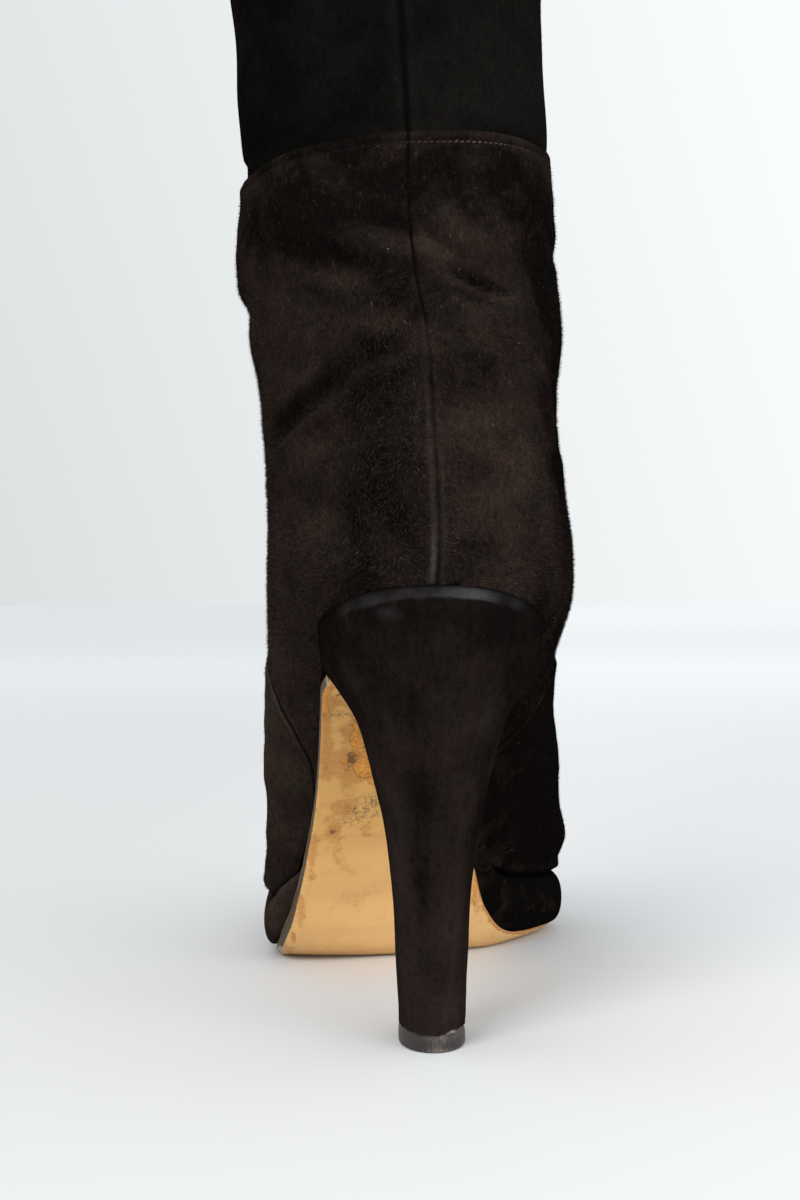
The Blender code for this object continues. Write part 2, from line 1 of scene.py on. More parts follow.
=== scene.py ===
"""Left over-the-knee boot in dark brown suede: the surfaces, seams, nap and wear over its frame.

The boot's own tables are in millimetres, measured from the heel's rearmost point down on the
floor: x towards the inner side of the foot, y towards the toe and z up. The frame's heel tip says
where that point lies, and every mesh is written in metres in the frame's coordinates.
"""

import logging
import math
from dataclasses import astuple, dataclass, replace
from enum import Enum
from typing import Any, Callable, Iterable, Sequence

import bpy
import numpy as np
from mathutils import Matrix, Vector


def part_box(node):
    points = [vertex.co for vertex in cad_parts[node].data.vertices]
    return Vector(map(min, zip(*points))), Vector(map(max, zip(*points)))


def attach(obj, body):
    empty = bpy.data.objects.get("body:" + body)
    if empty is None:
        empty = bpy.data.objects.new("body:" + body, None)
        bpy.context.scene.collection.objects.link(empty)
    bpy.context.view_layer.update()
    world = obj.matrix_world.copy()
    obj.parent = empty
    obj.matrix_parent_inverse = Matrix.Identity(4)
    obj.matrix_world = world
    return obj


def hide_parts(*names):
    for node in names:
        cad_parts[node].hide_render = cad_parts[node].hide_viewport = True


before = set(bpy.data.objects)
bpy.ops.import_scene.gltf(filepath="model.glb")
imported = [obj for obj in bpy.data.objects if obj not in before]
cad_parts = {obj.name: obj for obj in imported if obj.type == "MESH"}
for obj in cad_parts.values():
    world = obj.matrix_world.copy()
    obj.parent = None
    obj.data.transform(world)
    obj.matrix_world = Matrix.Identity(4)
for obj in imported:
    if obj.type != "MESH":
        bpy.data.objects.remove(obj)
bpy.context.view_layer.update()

LOG = logging.getLogger("boot")

MM = 0.001
BODY = "root"

Array = np.ndarray
Spot = tuple[float, float]
Tint = tuple[float, float, float, float]
Piece = bpy.types.Object
Material = bpy.types.Material

UP = np.array([0, 0, 1])


# ---- The boot's form ----


@dataclass(frozen=True)
class SoleRow:
    """The last's bottom at one station: its feather edge and what is stacked below it."""

    y: float
    z: float
    lateral: float
    medial: float
    swing: float
    platform: float
    sole: float


@dataclass(frozen=True)
class Section:
    """One slanting section of the leg or foot, from its back or lower end to its crest."""

    back_x: float
    back_y: float
    back_z: float
    crest_x: float
    crest_y: float
    crest_z: float
    lateral: float
    medial: float
    belly: float


@dataclass(frozen=True)
class HeelSection:
    """One level of the heel: its rear and breast ends and its width."""

    rear_y: float
    rear_z: float
    breast_y: float
    breast_z: float
    width: float


SOLE_LINE = (
    SoleRow(0, 109.5, 0, 0, 0, 0, 2.2),
    SoleRow(1.5, 109.1, 8.9, 8.9, 0, 0, 2.2),
    SoleRow(5, 107.9, 15.6, 15.6, 0, 0, 2.2),
    SoleRow(12, 105.2, 22.3, 22.3, 0, 0, 2.2),
    SoleRow(22, 101.6, 26.3, 26.2, 0, 0, 2.2),
    SoleRow(38, 96.2, 27.4, 26.4, 0, 0, 2.2),
    SoleRow(55, 88.1, 27.3, 24.4, 0, 0, 2.2),
    SoleRow(70, 75.5, 27.8, 19.2, 0.04, 0, 2.2),
    SoleRow(88, 58.5, 29, 15.4, 0.11, 0, 2.3),
    SoleRow(105, 41, 31.6, 14.2, 0.22, 0, 2.6),
    SoleRow(118, 28.6, 35.2, 17.4, 0.32, 3.2, 2.8),
    SoleRow(130, 22, 39, 26.6, 0.40, 8.5, 3),
    SoleRow(142, 19.2, 41.2, 38, 0.45, 13, 3),
    SoleRow(152, 18.6, 41.9, 43.6, 0.45, 15, 3),
    SoleRow(170, 18.6, 42.2, 42.4, 0.42, 15, 3),
    SoleRow(190, 18.6, 40.4, 37, 0.35, 15, 3),
    SoleRow(205, 20, 37, 31.4, 0.28, 15, 3),
    SoleRow(220, 22.9, 29.8, 23.4, 0.20, 15, 3),
    SoleRow(230, 25.3, 21.8, 16.4, 0.15, 15, 3),
    SoleRow(237, 27.2, 12.6, 9.2, 0.12, 15, 3),
    SoleRow(240, 28.1, 0, 0, 0.10, 15, 3),
)

UPPER_SECTIONS = (
    Section(-6.3, 7, 213.5, -8.8, 100, 213.5, 48.2, 31.1, 0.50),
    Section(-6, 6.5, 195, -8.6, 100, 200, 48.2, 31.2, 0.50),
    Section(-4.4, 5.5, 180, -8.1, 100.5, 190, 47.6, 31.4, 0.50),
    Section(-2, 5, 168, -6.5, 101, 183.5, 44.9, 32, 0.50),
    Section(-0.6, 2.6, 148, -6, 102.6, 174, 43.4, 31.4, 0.505),
    Section(0.3, 0.3, 130, -5, 104.8, 166, 42.2, 31.8, 0.52),
    Section(0.6, -0.5, 119, -3.8, 106.8, 160.5, 41.2, 33.8, 0.535),
    Section(0, 0, 109.5, -3, 108.5, 156, 40.8, 35.4, 0.55),
    Section(0, 1.5, 109.3, -2.9, 109.3, 154.6, 40.8, 35.7, 0.55),
    Section(0, 5, 108.8, -2.6, 110.6, 152, 40.7, 36.2, 0.55),
    Section(0, 12, 107.3, -2.2, 112.5, 148.4, 40.7, 37.2, 0.55),
    Section(0, 22, 104.3, -1.6, 115, 143.6, 41, 38.4, 0.54),
    Section(0, 38, 98.5, -0.8, 119.5, 136.5, 41.6, 39.6, 0.53),
    Section(0, 55, 88.5, 0, 125, 128.4, 42.3, 40.2, 0.51),
    Section(0, 70, 75.5, 0.9, 130.5, 119.6, 42.8, 39.9, 0.49),
    Section(0, 88, 58.5, 1.8, 137.5, 108.4, 43.4, 39.9, 0.46),
    Section(0, 105, 41, 2.6, 145, 96.5, 43.5, 40.8, 0.43),
    Section(0, 118, 28.6, 3.1, 151.5, 86.8, 43.5, 42.8, 0.39),
    Section(0, 130, 22, 3.4, 158.5, 78.4, 43.8, 44.6, 0.36),
    Section(0, 142, 19.2, 3.5, 166, 71.2, 44.5, 45.6, 0.33),
    Section(0, 152, 18.6, 3.5, 172.5, 66.4, 45, 46.2, 0.31),
    Section(0, 170, 18.6, 3.2, 185.5, 59.4, 45.3, 45, 0.30),
    Section(0, 190, 18.6, 2.7, 200, 53, 43.7, 39.6, 0.30),
    Section(0, 205, 20, 2, 211.5, 49, 39.9, 33.8, 0.31),
    Section(0, 220, 22.9, 1.2, 224.2, 44.8, 32.3, 25.4, 0.33),
    Section(0, 230, 25.3, 0.6, 233, 41.4, 23.8, 18, 0.36),
    Section(0, 237, 27.2, 0.2, 238.9, 37, 14.2, 10.6, 0.40),
    Section(0, 240, 28.1, 0, 240, 28.1, 0, 0, 0.40),
)
SEAT_SECTION = 7

# The two sections where the shaft is tucked into the upper, then the leg up to its top edge.
SHAFT_SECTIONS = (
    Section(-6.3, 9.1, 206.5, -8.8, 97.9, 206.5, 46.1, 29, 0.50),
    Section(-6.3, 9.1, 217, -8.8, 97.9, 217, 46.1, 29, 0.50),
    Section(-6.6, 8.4, 222, -9.2, 99.6, 222, 47.6, 30.2, 0.50),
    Section(-8.4, 7.5, 258, -10.4, 102.5, 258, 50.2, 29.6, 0.50),
    Section(-8.4, 5, 310, -9.6, 107, 310, 55.2, 36, 0.50),
    Section(-7, 1, 360, -8.2, 113, 360, 60.2, 43.8, 0.50),
    Section(-5.5, -2.5, 410, -6.6, 116.5, 410, 61.8, 48.4, 0.50),
    Section(-5, -1.5, 460, -5.4, 115.5, 460, 60.4, 49.6, 0.50),
    Section(-4.8, 1.5, 510, -4.8, 114.5, 510, 57.8, 48.2, 0.50),
    Section(-4.6, 1.5, 550, -4.6, 117, 550, 58.9, 49.7, 0.50),
    Section(-4.4, -1.5, 600, -4.4, 122.5, 600, 62.6, 53.8, 0.50),
    Section(-4.2, -4.5, 645, -4.2, 127.5, 645, 66.4, 58, 0.50),
    Section(-4, -7, 690, -4, 131, 690, 70, 62, 0.50),
)

HEEL_SECTIONS = (
    HeelSection(0.6, 102, 53.4, 84.4, 52.8),
    HeelSection(2.2, 93, 50.8, 80, 45.6),
    HeelSection(4.6, 82.5, 46.8, 73.5, 36.8),
    HeelSection(6.8, 72, 43.4, 66, 31),
    HeelSection(8.6, 61, 40.6, 57.5, 26.2),
    HeelSection(10, 50, 38.4, 48.5, 22.4),
    HeelSection(11, 38, 37.2, 37.5, 19.4),
    HeelSection(11.6, 25, 36.4, 25, 17.6),
    HeelSection(12, 6.3, 36, 6.3, 16),
)
SEAT_RING = HeelSection(0, 109.5, 54.6, 109.5, 54.2)

TIP_REAR = 12
LAST_END = 240
GAP = 0.3

# Between the sole's edges the tread runs ahead of its station and comes down in a curve.
TREAD_ADVANCE = 17
TREAD_MIDDLE = 8
TREAD_HALF_WIDTH = 48
TREAD_START = 115
TREAD_FULL = 135
TREAD_FLAT = 152


def gauss(distance: Array, width: float) -> Array:
    """Bell curve of height 1 that falls off over a width."""
    return np.exp(-((distance / width) ** 2))


def ease(low: float, high: float, value: Array) -> Array:
    """Smooth step from 0 at low to 1 at high."""
    t = np.clip((value - low) / (high - low), 0, 1)
    return t * t * (3 - 2 * t)


def unit(vectors: Array) -> Array:
    """Vectors of length 1."""
    return vectors / np.maximum(np.linalg.norm(vectors, axis=-1, keepdims=True), 1e-12)


def ripple(points: Array, wavelength: float, seed: int, waves: int = 7) -> Array:
    """Soft seeded waves over a surface.

    Args:
        points: Places in millimetres, with x, y and z last.
        wavelength: Typical length of a wave in millimetres.
        seed: Seed of the waves' directions and phases.
        waves: How many waves are added up.

    Returns:
        Values of about -1 to 1, one for each point.
    """
    random = np.random.default_rng(seed)
    total = np.zeros(points.shape[:-1])
    for _ in range(waves):
        direction = unit(random.normal(size=3))
        stretch = wavelength * random.uniform(0.7, 1.5)
        phase = random.uniform(0, 2 * math.pi)
        total += np.sin(points @ direction * (2 * math.pi / stretch) + phase)
    return total / math.sqrt(waves * 2)


def rows_between(table: Array, place: Array) -> Array:
    """Rows at fractional places in a table, on smooth curves through their neighbours.

    Args:
        table: The table, one row to a line; a row may itself be an array of points.
        place: Places in the table, 0 at its first row.

    Returns:
        The rows, with the shape of place followed by the shape of a row.
    """
    last = len(table) - 1
    place = np.clip(place, 0, last)
    i = np.minimum(place.astype(int), last - 1)
    t = (place - i).reshape(place.shape + (1,) * (table.ndim - 1))
    a = table[np.maximum(i - 1, 0)]
    b = table[i]
    c = table[i + 1]
    d = table[np.minimum(i + 2, last)]
    bend = (2 * a - 5 * b + 4 * c - d) + t * (3 * b - a - 3 * c + d)
    return b + 0.5 * t * ((c - a) + t * bend)


def running(steps: Array, axis: int = 0) -> Array:
    """Total of the steps so far along an axis, from 0."""
    total = np.cumsum(steps, axis=axis)
    return np.concatenate([np.zeros_like(np.take(total, [0], axis=axis)), total], axis=axis)


def column_depth(points: Array) -> Array:
    """Millimetres down each column of a grid from its first row."""
    return running(np.linalg.norm(np.diff(points, axis=0), axis=-1))


def evenly(places: Array, steps: Array, pitch: float) -> Array:
    """Places spread evenly along a route.

    Args:
        places: Places along the route.
        steps: The route's length between one place and the next.
        pitch: Largest distance between the places that are wanted.

    Returns:
        The places, the route's two ends among them.
    """
    travelled = running(steps)
    count = math.ceil(travelled[-1] / pitch)
    return np.interp(np.linspace(0, travelled[-1], count + 1), travelled, places)


def platform_bottom(row: SoleRow) -> Array:
    """Depth of the platform's lower face below the feather line."""
    return GAP + row.platform


def sole_top(row: SoleRow) -> Array:
    """Depth of the leather sole's upper face."""
    return platform_bottom(row) + GAP * np.minimum(row.platform, 1)


def sole_bottom(row: SoleRow) -> Array:
    """Depth of the leather sole's lower face."""
    return sole_top(row) + row.sole


class Last:
    """The boot's surfaces as functions of a place in a table and a share of the way across."""

    LEAST_FULLNESS = 1.04
    EDGE_BANK = 0.07
    BANKED_SECTIONS = 2
    HEEL_WIDEST = 0.52
    HEEL_BACK_POWER = 2
    HEEL_BREAST_POWER = 4

    def __init__(self) -> None:
        """Tabulate the sections and find the boot's own zero point in the frame."""
        self.sole_table = np.array([astuple(row) for row in SOLE_LINE])
        self.upper_table = np.array([astuple(row) for row in UPPER_SECTIONS])
        self.shaft_table = np.array([astuple(row) for row in SHAFT_SECTIONS])[::-1]
        self.slopes = self._limited_slopes()
        low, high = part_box("heel_tip")
        self.zero = np.array([(low.x + high.x) / 2, low.y - TIP_REAR * MM, 0])

    def _limited_slopes(self) -> Array:
        """Slopes of the sole's columns at its rows, flat where a column turns back.

        Returns:
            The slopes, a row for each row of the sole's table.
        """
        y = self.sole_table[:, 0]
        between = np.diff(self.sole_table, axis=0) / np.diff(y)[:, None]
        before, after = between[:-1], between[1:]
        total = np.where(before * after > 0, before + after, 1)
        inner = np.where(before * after > 0, 2 * before * after / total, 0)
        return np.vstack([between[:1], inner, between[-1:]])

    def sole_row(self, y: Array) -> SoleRow:
        """The last's bottom at stations y, as a row of arrays.

        Args:
            y: Stations in millimetres from the heel.

        Returns:
            The row, each of its columns an array.
        """
        table = self.sole_table
        y = np.asarray(y, float)
        i = np.clip(np.searchsorted(table[:, 0], y, side="right") - 1, 0, len(table) - 2)
        width = (table[i + 1, 0] - table[i, 0])[..., None]
        t = (y[..., None] - table[i, 0][..., None]) / width
        start = self.slopes[i] * width
        end = self.slopes[i + 1] * width
        rise = table[i + 1] - table[i]
        inner = 3 * rise - 2 * start - end + t * (start + end - 2 * rise)
        values = table[i] + t * (start + t * inner)
        return SoleRow(*np.moveaxis(values, -1, 0))

    @staticmethod
    def _lowest_angle(section: Section, bottom: SoleRow) -> Array:
        """Angle below the belly at which a section meets the bottom; a ring goes all round.

        Args:
            section: The sections.
            bottom: The last's bottom under them.

        Returns:
            Angles in radians.
        """
        half = np.maximum((section.medial + section.lateral) / 2, 1e-9)
        width = (bottom.lateral + bottom.medial) / 2
        return np.arccos(np.clip(width / half, 0, 1))

    def _points(self, section: Section, bottom: SoleRow, share: Array) -> Array:
        """Points on sections; share runs from -1 at the outer lower end, over 0, to 1.

        Args:
            section: The sections.
            bottom: The last's bottom under them.
            share: Shares across, from -1 over 0 at the crest to 1.

        Returns:
            The points.
        """
        middle = (section.medial - section.lateral) / 2
        half = (section.medial + section.lateral) / 2
        ringed = bottom.lateral + bottom.medial <= 0
        seat_middle = np.where(ringed, section.back_x, (bottom.medial - bottom.lateral) / 2)
        angle = math.pi / 2 - np.abs(share) * math.pi
        lowest = np.maximum(np.sin(self._lowest_angle(section, bottom)), 1e-9)
        rise = 1 + np.sin(angle) / lowest
        above = np.maximum(np.sin(angle), 0)
        below = angle < 0
        belly = section.belly
        fraction = np.where(below, belly * rise, belly + (1 - belly) * above)
        centre_low = seat_middle + (middle - seat_middle) * rise
        centre_high = middle + (section.crest_x - middle) * above**2
        x = np.where(below, centre_low, centre_high) + np.copysign(half * np.cos(angle), share)
        y = section.back_y + (section.crest_y - section.back_y) * fraction + bottom.swing * x
        z = section.back_z + (section.crest_z - section.back_z) * fraction
        return np.stack([x, y, z], axis=-1)

    def _upper_rows(self, place: Array) -> tuple[Section, SoleRow]:
        """The upper's sections at places in its table, and the last's bottom under them.

        Args:
            place: Places in the table.

        Returns:
            The sections and the bottoms.
        """
        section = Section(*np.moveaxis(rows_between(self.upper_table, place), -1, 0))
        i = np.minimum(place.astype(int), len(self.upper_table) - 2)
        before, after = self.upper_table[i, 1], self.upper_table[i + 1, 1]
        open_foot = place > SEAT_SECTION
        bottom = self.sole_row(np.where(open_foot, before + (after - before) * (place - i), 0))
        closed = ("lateral", "medial", "swing")
        kept = {name: np.where(open_foot, getattr(bottom, name), 0) for name in closed}
        bottom = replace(bottom, **kept)
        section = replace(
            section,
            back_y=np.where(open_foot, bottom.y, section.back_y),
            back_z=np.where(open_foot, bottom.z, section.back_z),
            lateral=np.maximum(section.lateral, bottom.lateral * self.LEAST_FULLNESS),
            medial=np.maximum(section.medial, bottom.medial * self.LEAST_FULLNESS),
        )
        return section, bottom

    def upper_end(self, place: Array) -> Array:
        """Share at which the upper's sections meet the feather edge; 1 on a closed ring."""
        return 0.5 + self._lowest_angle(*self._upper_rows(place)) / math.pi

    def upper(self, place: Array, share: Array) -> Array:
        """Points on the upper's outer surface: closed rings down the leg, arches over the foot.

        Args:
            place: Places in the table.
            share: Shares across, from -1 over 0 at the crest to 1.

        Returns:
            The points.
        """
        section, bottom = self._upper_rows(place)
        points = self._points(section, bottom, share)
        bank = self.EDGE_BANK * np.maximum(1 - place / self.BANKED_SECTIONS, 0)
        points[..., 2] += (points[..., 0] - section.back_x) * bank
        return points

    def shaft(self, place: Array, share: Array) -> Array:
        """Points on the shaft's outer surface, place running down from its top edge.

        Args:
            place: Places in the table.
            share: Shares across, from -1 over 0 at the crest to 1.

        Returns:
            The points.
        """
        section = Section(*np.moveaxis(rows_between(self.shaft_table, place), -1, 0))
        nothing = SoleRow(*np.zeros((self.sole_table.shape[1],) + place.shape))
        return self._points(section, nothing, share)

    def outline(self, y: Array, side: float, outset: Array) -> Array:
        """Points in plan on the sole's outline at stations y, moved out by outset.

        Args:
            y: The stations.
            side: -1 for the outer side, 1 for the inner side.
            outset: Millimetres.

        Returns:
            The points.
        """
        row = self.sole_row(y)
        half = row.medial if side > 0 else row.lateral
        ends = []
        for near in self._beside(y):
            edge = self.sole_row(near)
            x = side * (edge.medial if side > 0 else edge.lateral)
            ends.append(np.stack([x, near + edge.swing * x], axis=-1))
        run = unit(ends[1] - ends[0])
        x = side * half
        away = side * np.stack([run[..., 1], -run[..., 0]], axis=-1)
        pointed = (half < 1e-6)[..., None]
        facing = np.stack([np.zeros_like(y), np.where(y < LAST_END / 2, -1, 1)], axis=-1)
        away = np.where(pointed, facing, away)
        return np.stack([x, y + row.swing * x], axis=-1) + np.asarray(outset)[..., None] * away

    @staticmethod
    def _beside(y: Array) -> tuple[Array, Array]:
        """Stations just behind and just before stations y, for slopes."""
        return np.maximum(y - 0.2, 0), np.minimum(y + 0.2, LAST_END)

    def station_at(self, xy: Array, rounds: int = 6) -> Array:
        """Stations of the last's bottom that pass through points in plan.

        Args:
            xy: The points.
            rounds: How often the first guess is improved.

        Returns:
            The stations.
        """
        station = xy[..., 1]
        for _ in range(rounds):
            swing = self.sole_row(np.clip(station, 0, LAST_END)).swing
            station = xy[..., 1] - swing * xy[..., 0]
        return np.clip(station, 0, LAST_END)

    def surface_height(self, station: Array, depth: Callable[[SoleRow], Array]) -> Array:
        """Heights of the surface that lies depth(row) below the feather line and square to it.

        Args:
            station: The stations.
            depth: Gives the depth at a row of the bottom.

        Returns:
            The heights.
        """
        row = self.sole_row(station)
        low, high = (self.sole_row(near) for near in self._beside(station))
        slope = (high.z - low.z) / (high.y - low.y)
        return row.z - depth(row) * np.hypot(1, slope)

    def tread_sag(self, station: Array, x: Array) -> Array:
        """How far the tread lies below the sole's edges of the same station.

        Args:
            station: The stations.
            x: Places across.

        Returns:
            Millimetres, one for each point.
        """
        across = (x - TREAD_MIDDLE) / TREAD_HALF_WIDTH
        advance = TREAD_ADVANCE * np.maximum(1 - across**2, 0)
        advance = advance * ease(TREAD_START, TREAD_FULL, station)
        ahead = np.minimum(station + advance, np.maximum(station, TREAD_FLAT))
        return self.surface_height(station, sole_bottom) - self.surface_height(ahead, sole_bottom)

    def under(self, xy: Array, depth: Callable[[SoleRow], Array], settled: float = 0) -> Array:
        """Points in space under plan points, with a share of the tread's sag.

        Args:
            xy: The points in plan.
            depth: Gives a surface's depth at a row of the bottom.
            settled: Share of the sag, from 0 to 1.

        Returns:
            The points in space.
        """
        station = self.station_at(xy)
        z = self.surface_height(station, depth)
        if settled:
            z = z - settled * self.tread_sag(station, xy[..., 0])
        return np.concatenate([xy, z[..., None]], axis=-1)

    def heel_ring(self, section: HeelSection, angle: Array) -> Array:
        """Points round one level of the heel, from its rear: round behind, flatter in front.

        Args:
            section: The level.
            angle: Angles in radians, 0 at the rear and positive inwards.

        Returns:
            The points.
        """
        depth = section.breast_y - section.rear_y
        middle = section.rear_y + depth * self.HEEL_WIDEST
        back, side = -np.cos(angle), np.sin(angle)
        in_front = back > 0
        power = np.where(in_front, self.HEEL_BREAST_POWER, self.HEEL_BACK_POWER)
        reach = np.where(in_front, section.breast_y - middle, middle - section.rear_y)
        x = np.copysign(np.abs(side) ** (2 / power), side) * section.width / 2
        y = middle + np.copysign(np.abs(back) ** (2 / power), back) * reach
        share = (y - section.rear_y) / depth
        z = section.rear_z + (section.breast_z - section.rear_z) * share
        return np.stack([x, y, z], axis=-1)


# ---- Meshes from grids ----


def grid_normals(points: Array, closed_rows: Array) -> Array:
    """Outward normals of a grid whose columns run across and whose rows run down.

    Args:
        points: Grid of points, rows first.
        closed_rows: True for each row whose first and last points meet.

    Returns:
        Unit normals, one for each point.
    """
    across = np.gradient(points, axis=1)
    around = points[:, 1] - points[:, -2]
    across[:, 0] = np.where(closed_rows[:, None], around, across[:, 0])
    across[:, -1] = np.where(closed_rows[:, None], around, across[:, -1])
    down = np.gradient(points, axis=0)
    return unit(np.cross(across, down))


def show(name: str, data: Any) -> Piece:
    """Put a mesh, a lamp or a camera into the scene as an object.

    Args:
        name: The object's name.
        data: Its mesh, lamp or camera.

    Returns:
        The object.
    """
    made = bpy.data.objects.new(name, data)
    bpy.context.scene.collection.objects.link(made)
    return made


class MeshDraft:
    """Collects the points, faces and point attributes of one piece, in millimetres."""

    WELDS_PER_MM = 2000

    def __init__(self, last: Last) -> None:
        """Start an empty draft in the last's own frame.

        Args:
            last: The boot's surfaces.
        """
        self.last = last
        self.points: list[Array] = []
        self.marks: list[dict[str, Array]] = []
        self.faces: list[Sequence[int]] = []
        self.edges: list[tuple[int, int]] = []
        self.slots: list[int] = []
        self.count = 0

    def add_points(self, points: Array, **marks: Array) -> Array:
        """Add points with their attributes and return their numbers in the same layout.

        Args:
            points: The points.
            **marks: Their attributes by name.

        Returns:
            Their numbers.
        """
        shape = points.shape[:-1]
        placed = points.reshape(-1, 3)
        self.points.append(placed)
        flat = {}
        for name, value in marks.items():
            value = np.asarray(value, float)
            tail = value.shape[len(shape):] if value.ndim > len(shape) else ()
            flat[name] = np.broadcast_to(value, shape + tail).reshape((-1,) + tail)
        self.marks.append(flat)
        numbers = np.arange(self.count, self.count + len(placed)).reshape(shape)
        self.count += len(placed)
        return numbers

    def skin(self, numbers: Array, slot: int = 0, inward: bool = False) -> None:
        """Faces between the neighbouring rows and columns of a grid of point numbers.

        Args:
            numbers: The grid of numbers.
            slot: Material slot of the faces.
            inward: Turn the faces over.
        """
        a, b = numbers[:-1, :-1], numbers[:-1, 1:]
        c, d = numbers[1:, 1:], numbers[1:, :-1]
        order = (a, d, c, b) if inward else (a, b, c, d)
        made = np.stack(order, axis=-1).reshape(-1, 4)
        self.faces.extend(made.tolist())
        self.slots.extend([slot] * len(made))

    def strip(self, fine: Array, coarse: Array, steps: Array, flip: bool = False) -> None:
        """Faces from a fine edge to a coarse one.

        Args:
            fine: Point numbers along the fine edge.
            coarse: Point numbers along the coarse edge.
            steps: Where in the fine edge each coarse point lies.
            flip: Turn the faces over.
        """
        for k in range(len(coarse) - 1):
            corners = [*fine[steps[k]: steps[k + 1] + 1], coarse[k + 1], coarse[k]]
            self.face(corners if flip else corners[::-1])

    def run(self, numbers: Array) -> None:
        """Edges from each point to the next."""
        self.edges.extend(zip(numbers[:-1].tolist(), numbers[1:].tolist()))

    def face(self, corners: Iterable[int]) -> None:
        """One face in the first material."""
        self.faces.append(list(corners))
        self.slots.append(0)

    def body(self, points: Array, **marks: Array) -> None:
        """A closed body of rings from its top down, with their attributes; both ends are capped.

        Args:
            points: The rings.
            **marks: Their attributes by name.
        """
        numbers = self.add_points(points, **marks)
        self.skin(numbers)
        for ring, flip in ((numbers[0], False), (numbers[-1], True)):
            count = len(ring) - 1
            for i in range(count // 2):
                corners = (ring[i], ring[i + 1], ring[count - i - 1], ring[count - i])
                self.face(corners if flip else corners[::-1])

    def build(
        self, name: str, materials: Sequence[Material], smooth: float = 50
    ) -> Piece:
        """Weld the points that meet and make the object.

        Args:
            name: The piece's name.
            materials: Its materials, one for each slot.
            smooth: Angle in degrees past which an edge is sharp.

        Returns:
            The finished object.
        """
        points = np.concatenate(self.points)
        rounded = np.round(points * self.WELDS_PER_MM)
        _, first, welded = np.unique(rounded, axis=0, return_index=True, return_inverse=True)
        welded = welded.ravel()
        faces, slots = [], []
        for corners, slot in zip(self.faces, self.slots):
            numbers = list(dict.fromkeys(int(welded[c]) for c in corners))
            if len(numbers) > 2:
                faces.append(numbers)
                slots.append(slot)
        mesh = bpy.data.meshes.new(name)
        edges = [(int(welded[a]), int(welded[b])) for a, b in self.edges]
        mesh.from_pydata((points[first] * MM + self.last.zero).tolist(), edges, faces)
        mesh.polygons.foreach_set("material_index", slots)
        for key in sorted({key for part in self.marks for key in part}):
            self._attribute(mesh, key, first)
        for material in materials:
            mesh.materials.append(material)
        mesh.validate()
        mesh.shade_smooth()
        mesh.set_sharp_from_angle(angle=math.radians(smooth))
        return show(name, mesh)

    def _attribute(self, mesh: bpy.types.Mesh, key: str, first: Array) -> None:
        """Write one attribute for the points that are kept; points without it get 0.

        Args:
            mesh: The welded mesh.
            key: The attribute's name.
            first: Numbers of the points that are kept.
        """
        tail = next(part[key].shape[1:] for part in self.marks if key in part)
        parts = [
            part.get(key, np.zeros((len(placed), *tail)))
            for part, placed in zip(self.marks, self.points)
        ]
        values = np.concatenate(parts)[first].astype(np.float32)
        layer = mesh.attributes.new(key, "FLOAT_VECTOR" if tail else "FLOAT", "POINT")
        layer.data.foreach_set("vector" if tail else "value", values.ravel())


# ---- Relief: creases, swellings and brushed patches ----


@dataclass(frozen=True)
class Crease:
    """A soft trough through three places, with an optional ridge above and below it.

    A place is the turn in degrees round the leg from the back seam, positive towards the inner
    side and 180 at the front, and the height in millimetres above the floor.
    """

    start: Spot
    middle: Spot
    end: Spot
    depth: float
    width: float
    ridge_above: float = 0
    ridge_below: float = 0


@dataclass(frozen=True)
class Patch:
    """A soft round patch at a turn and a height: how wide in degrees, how tall, and how much."""

    turn: float
    height: float
    wide: float
    tall: float
    amount: float


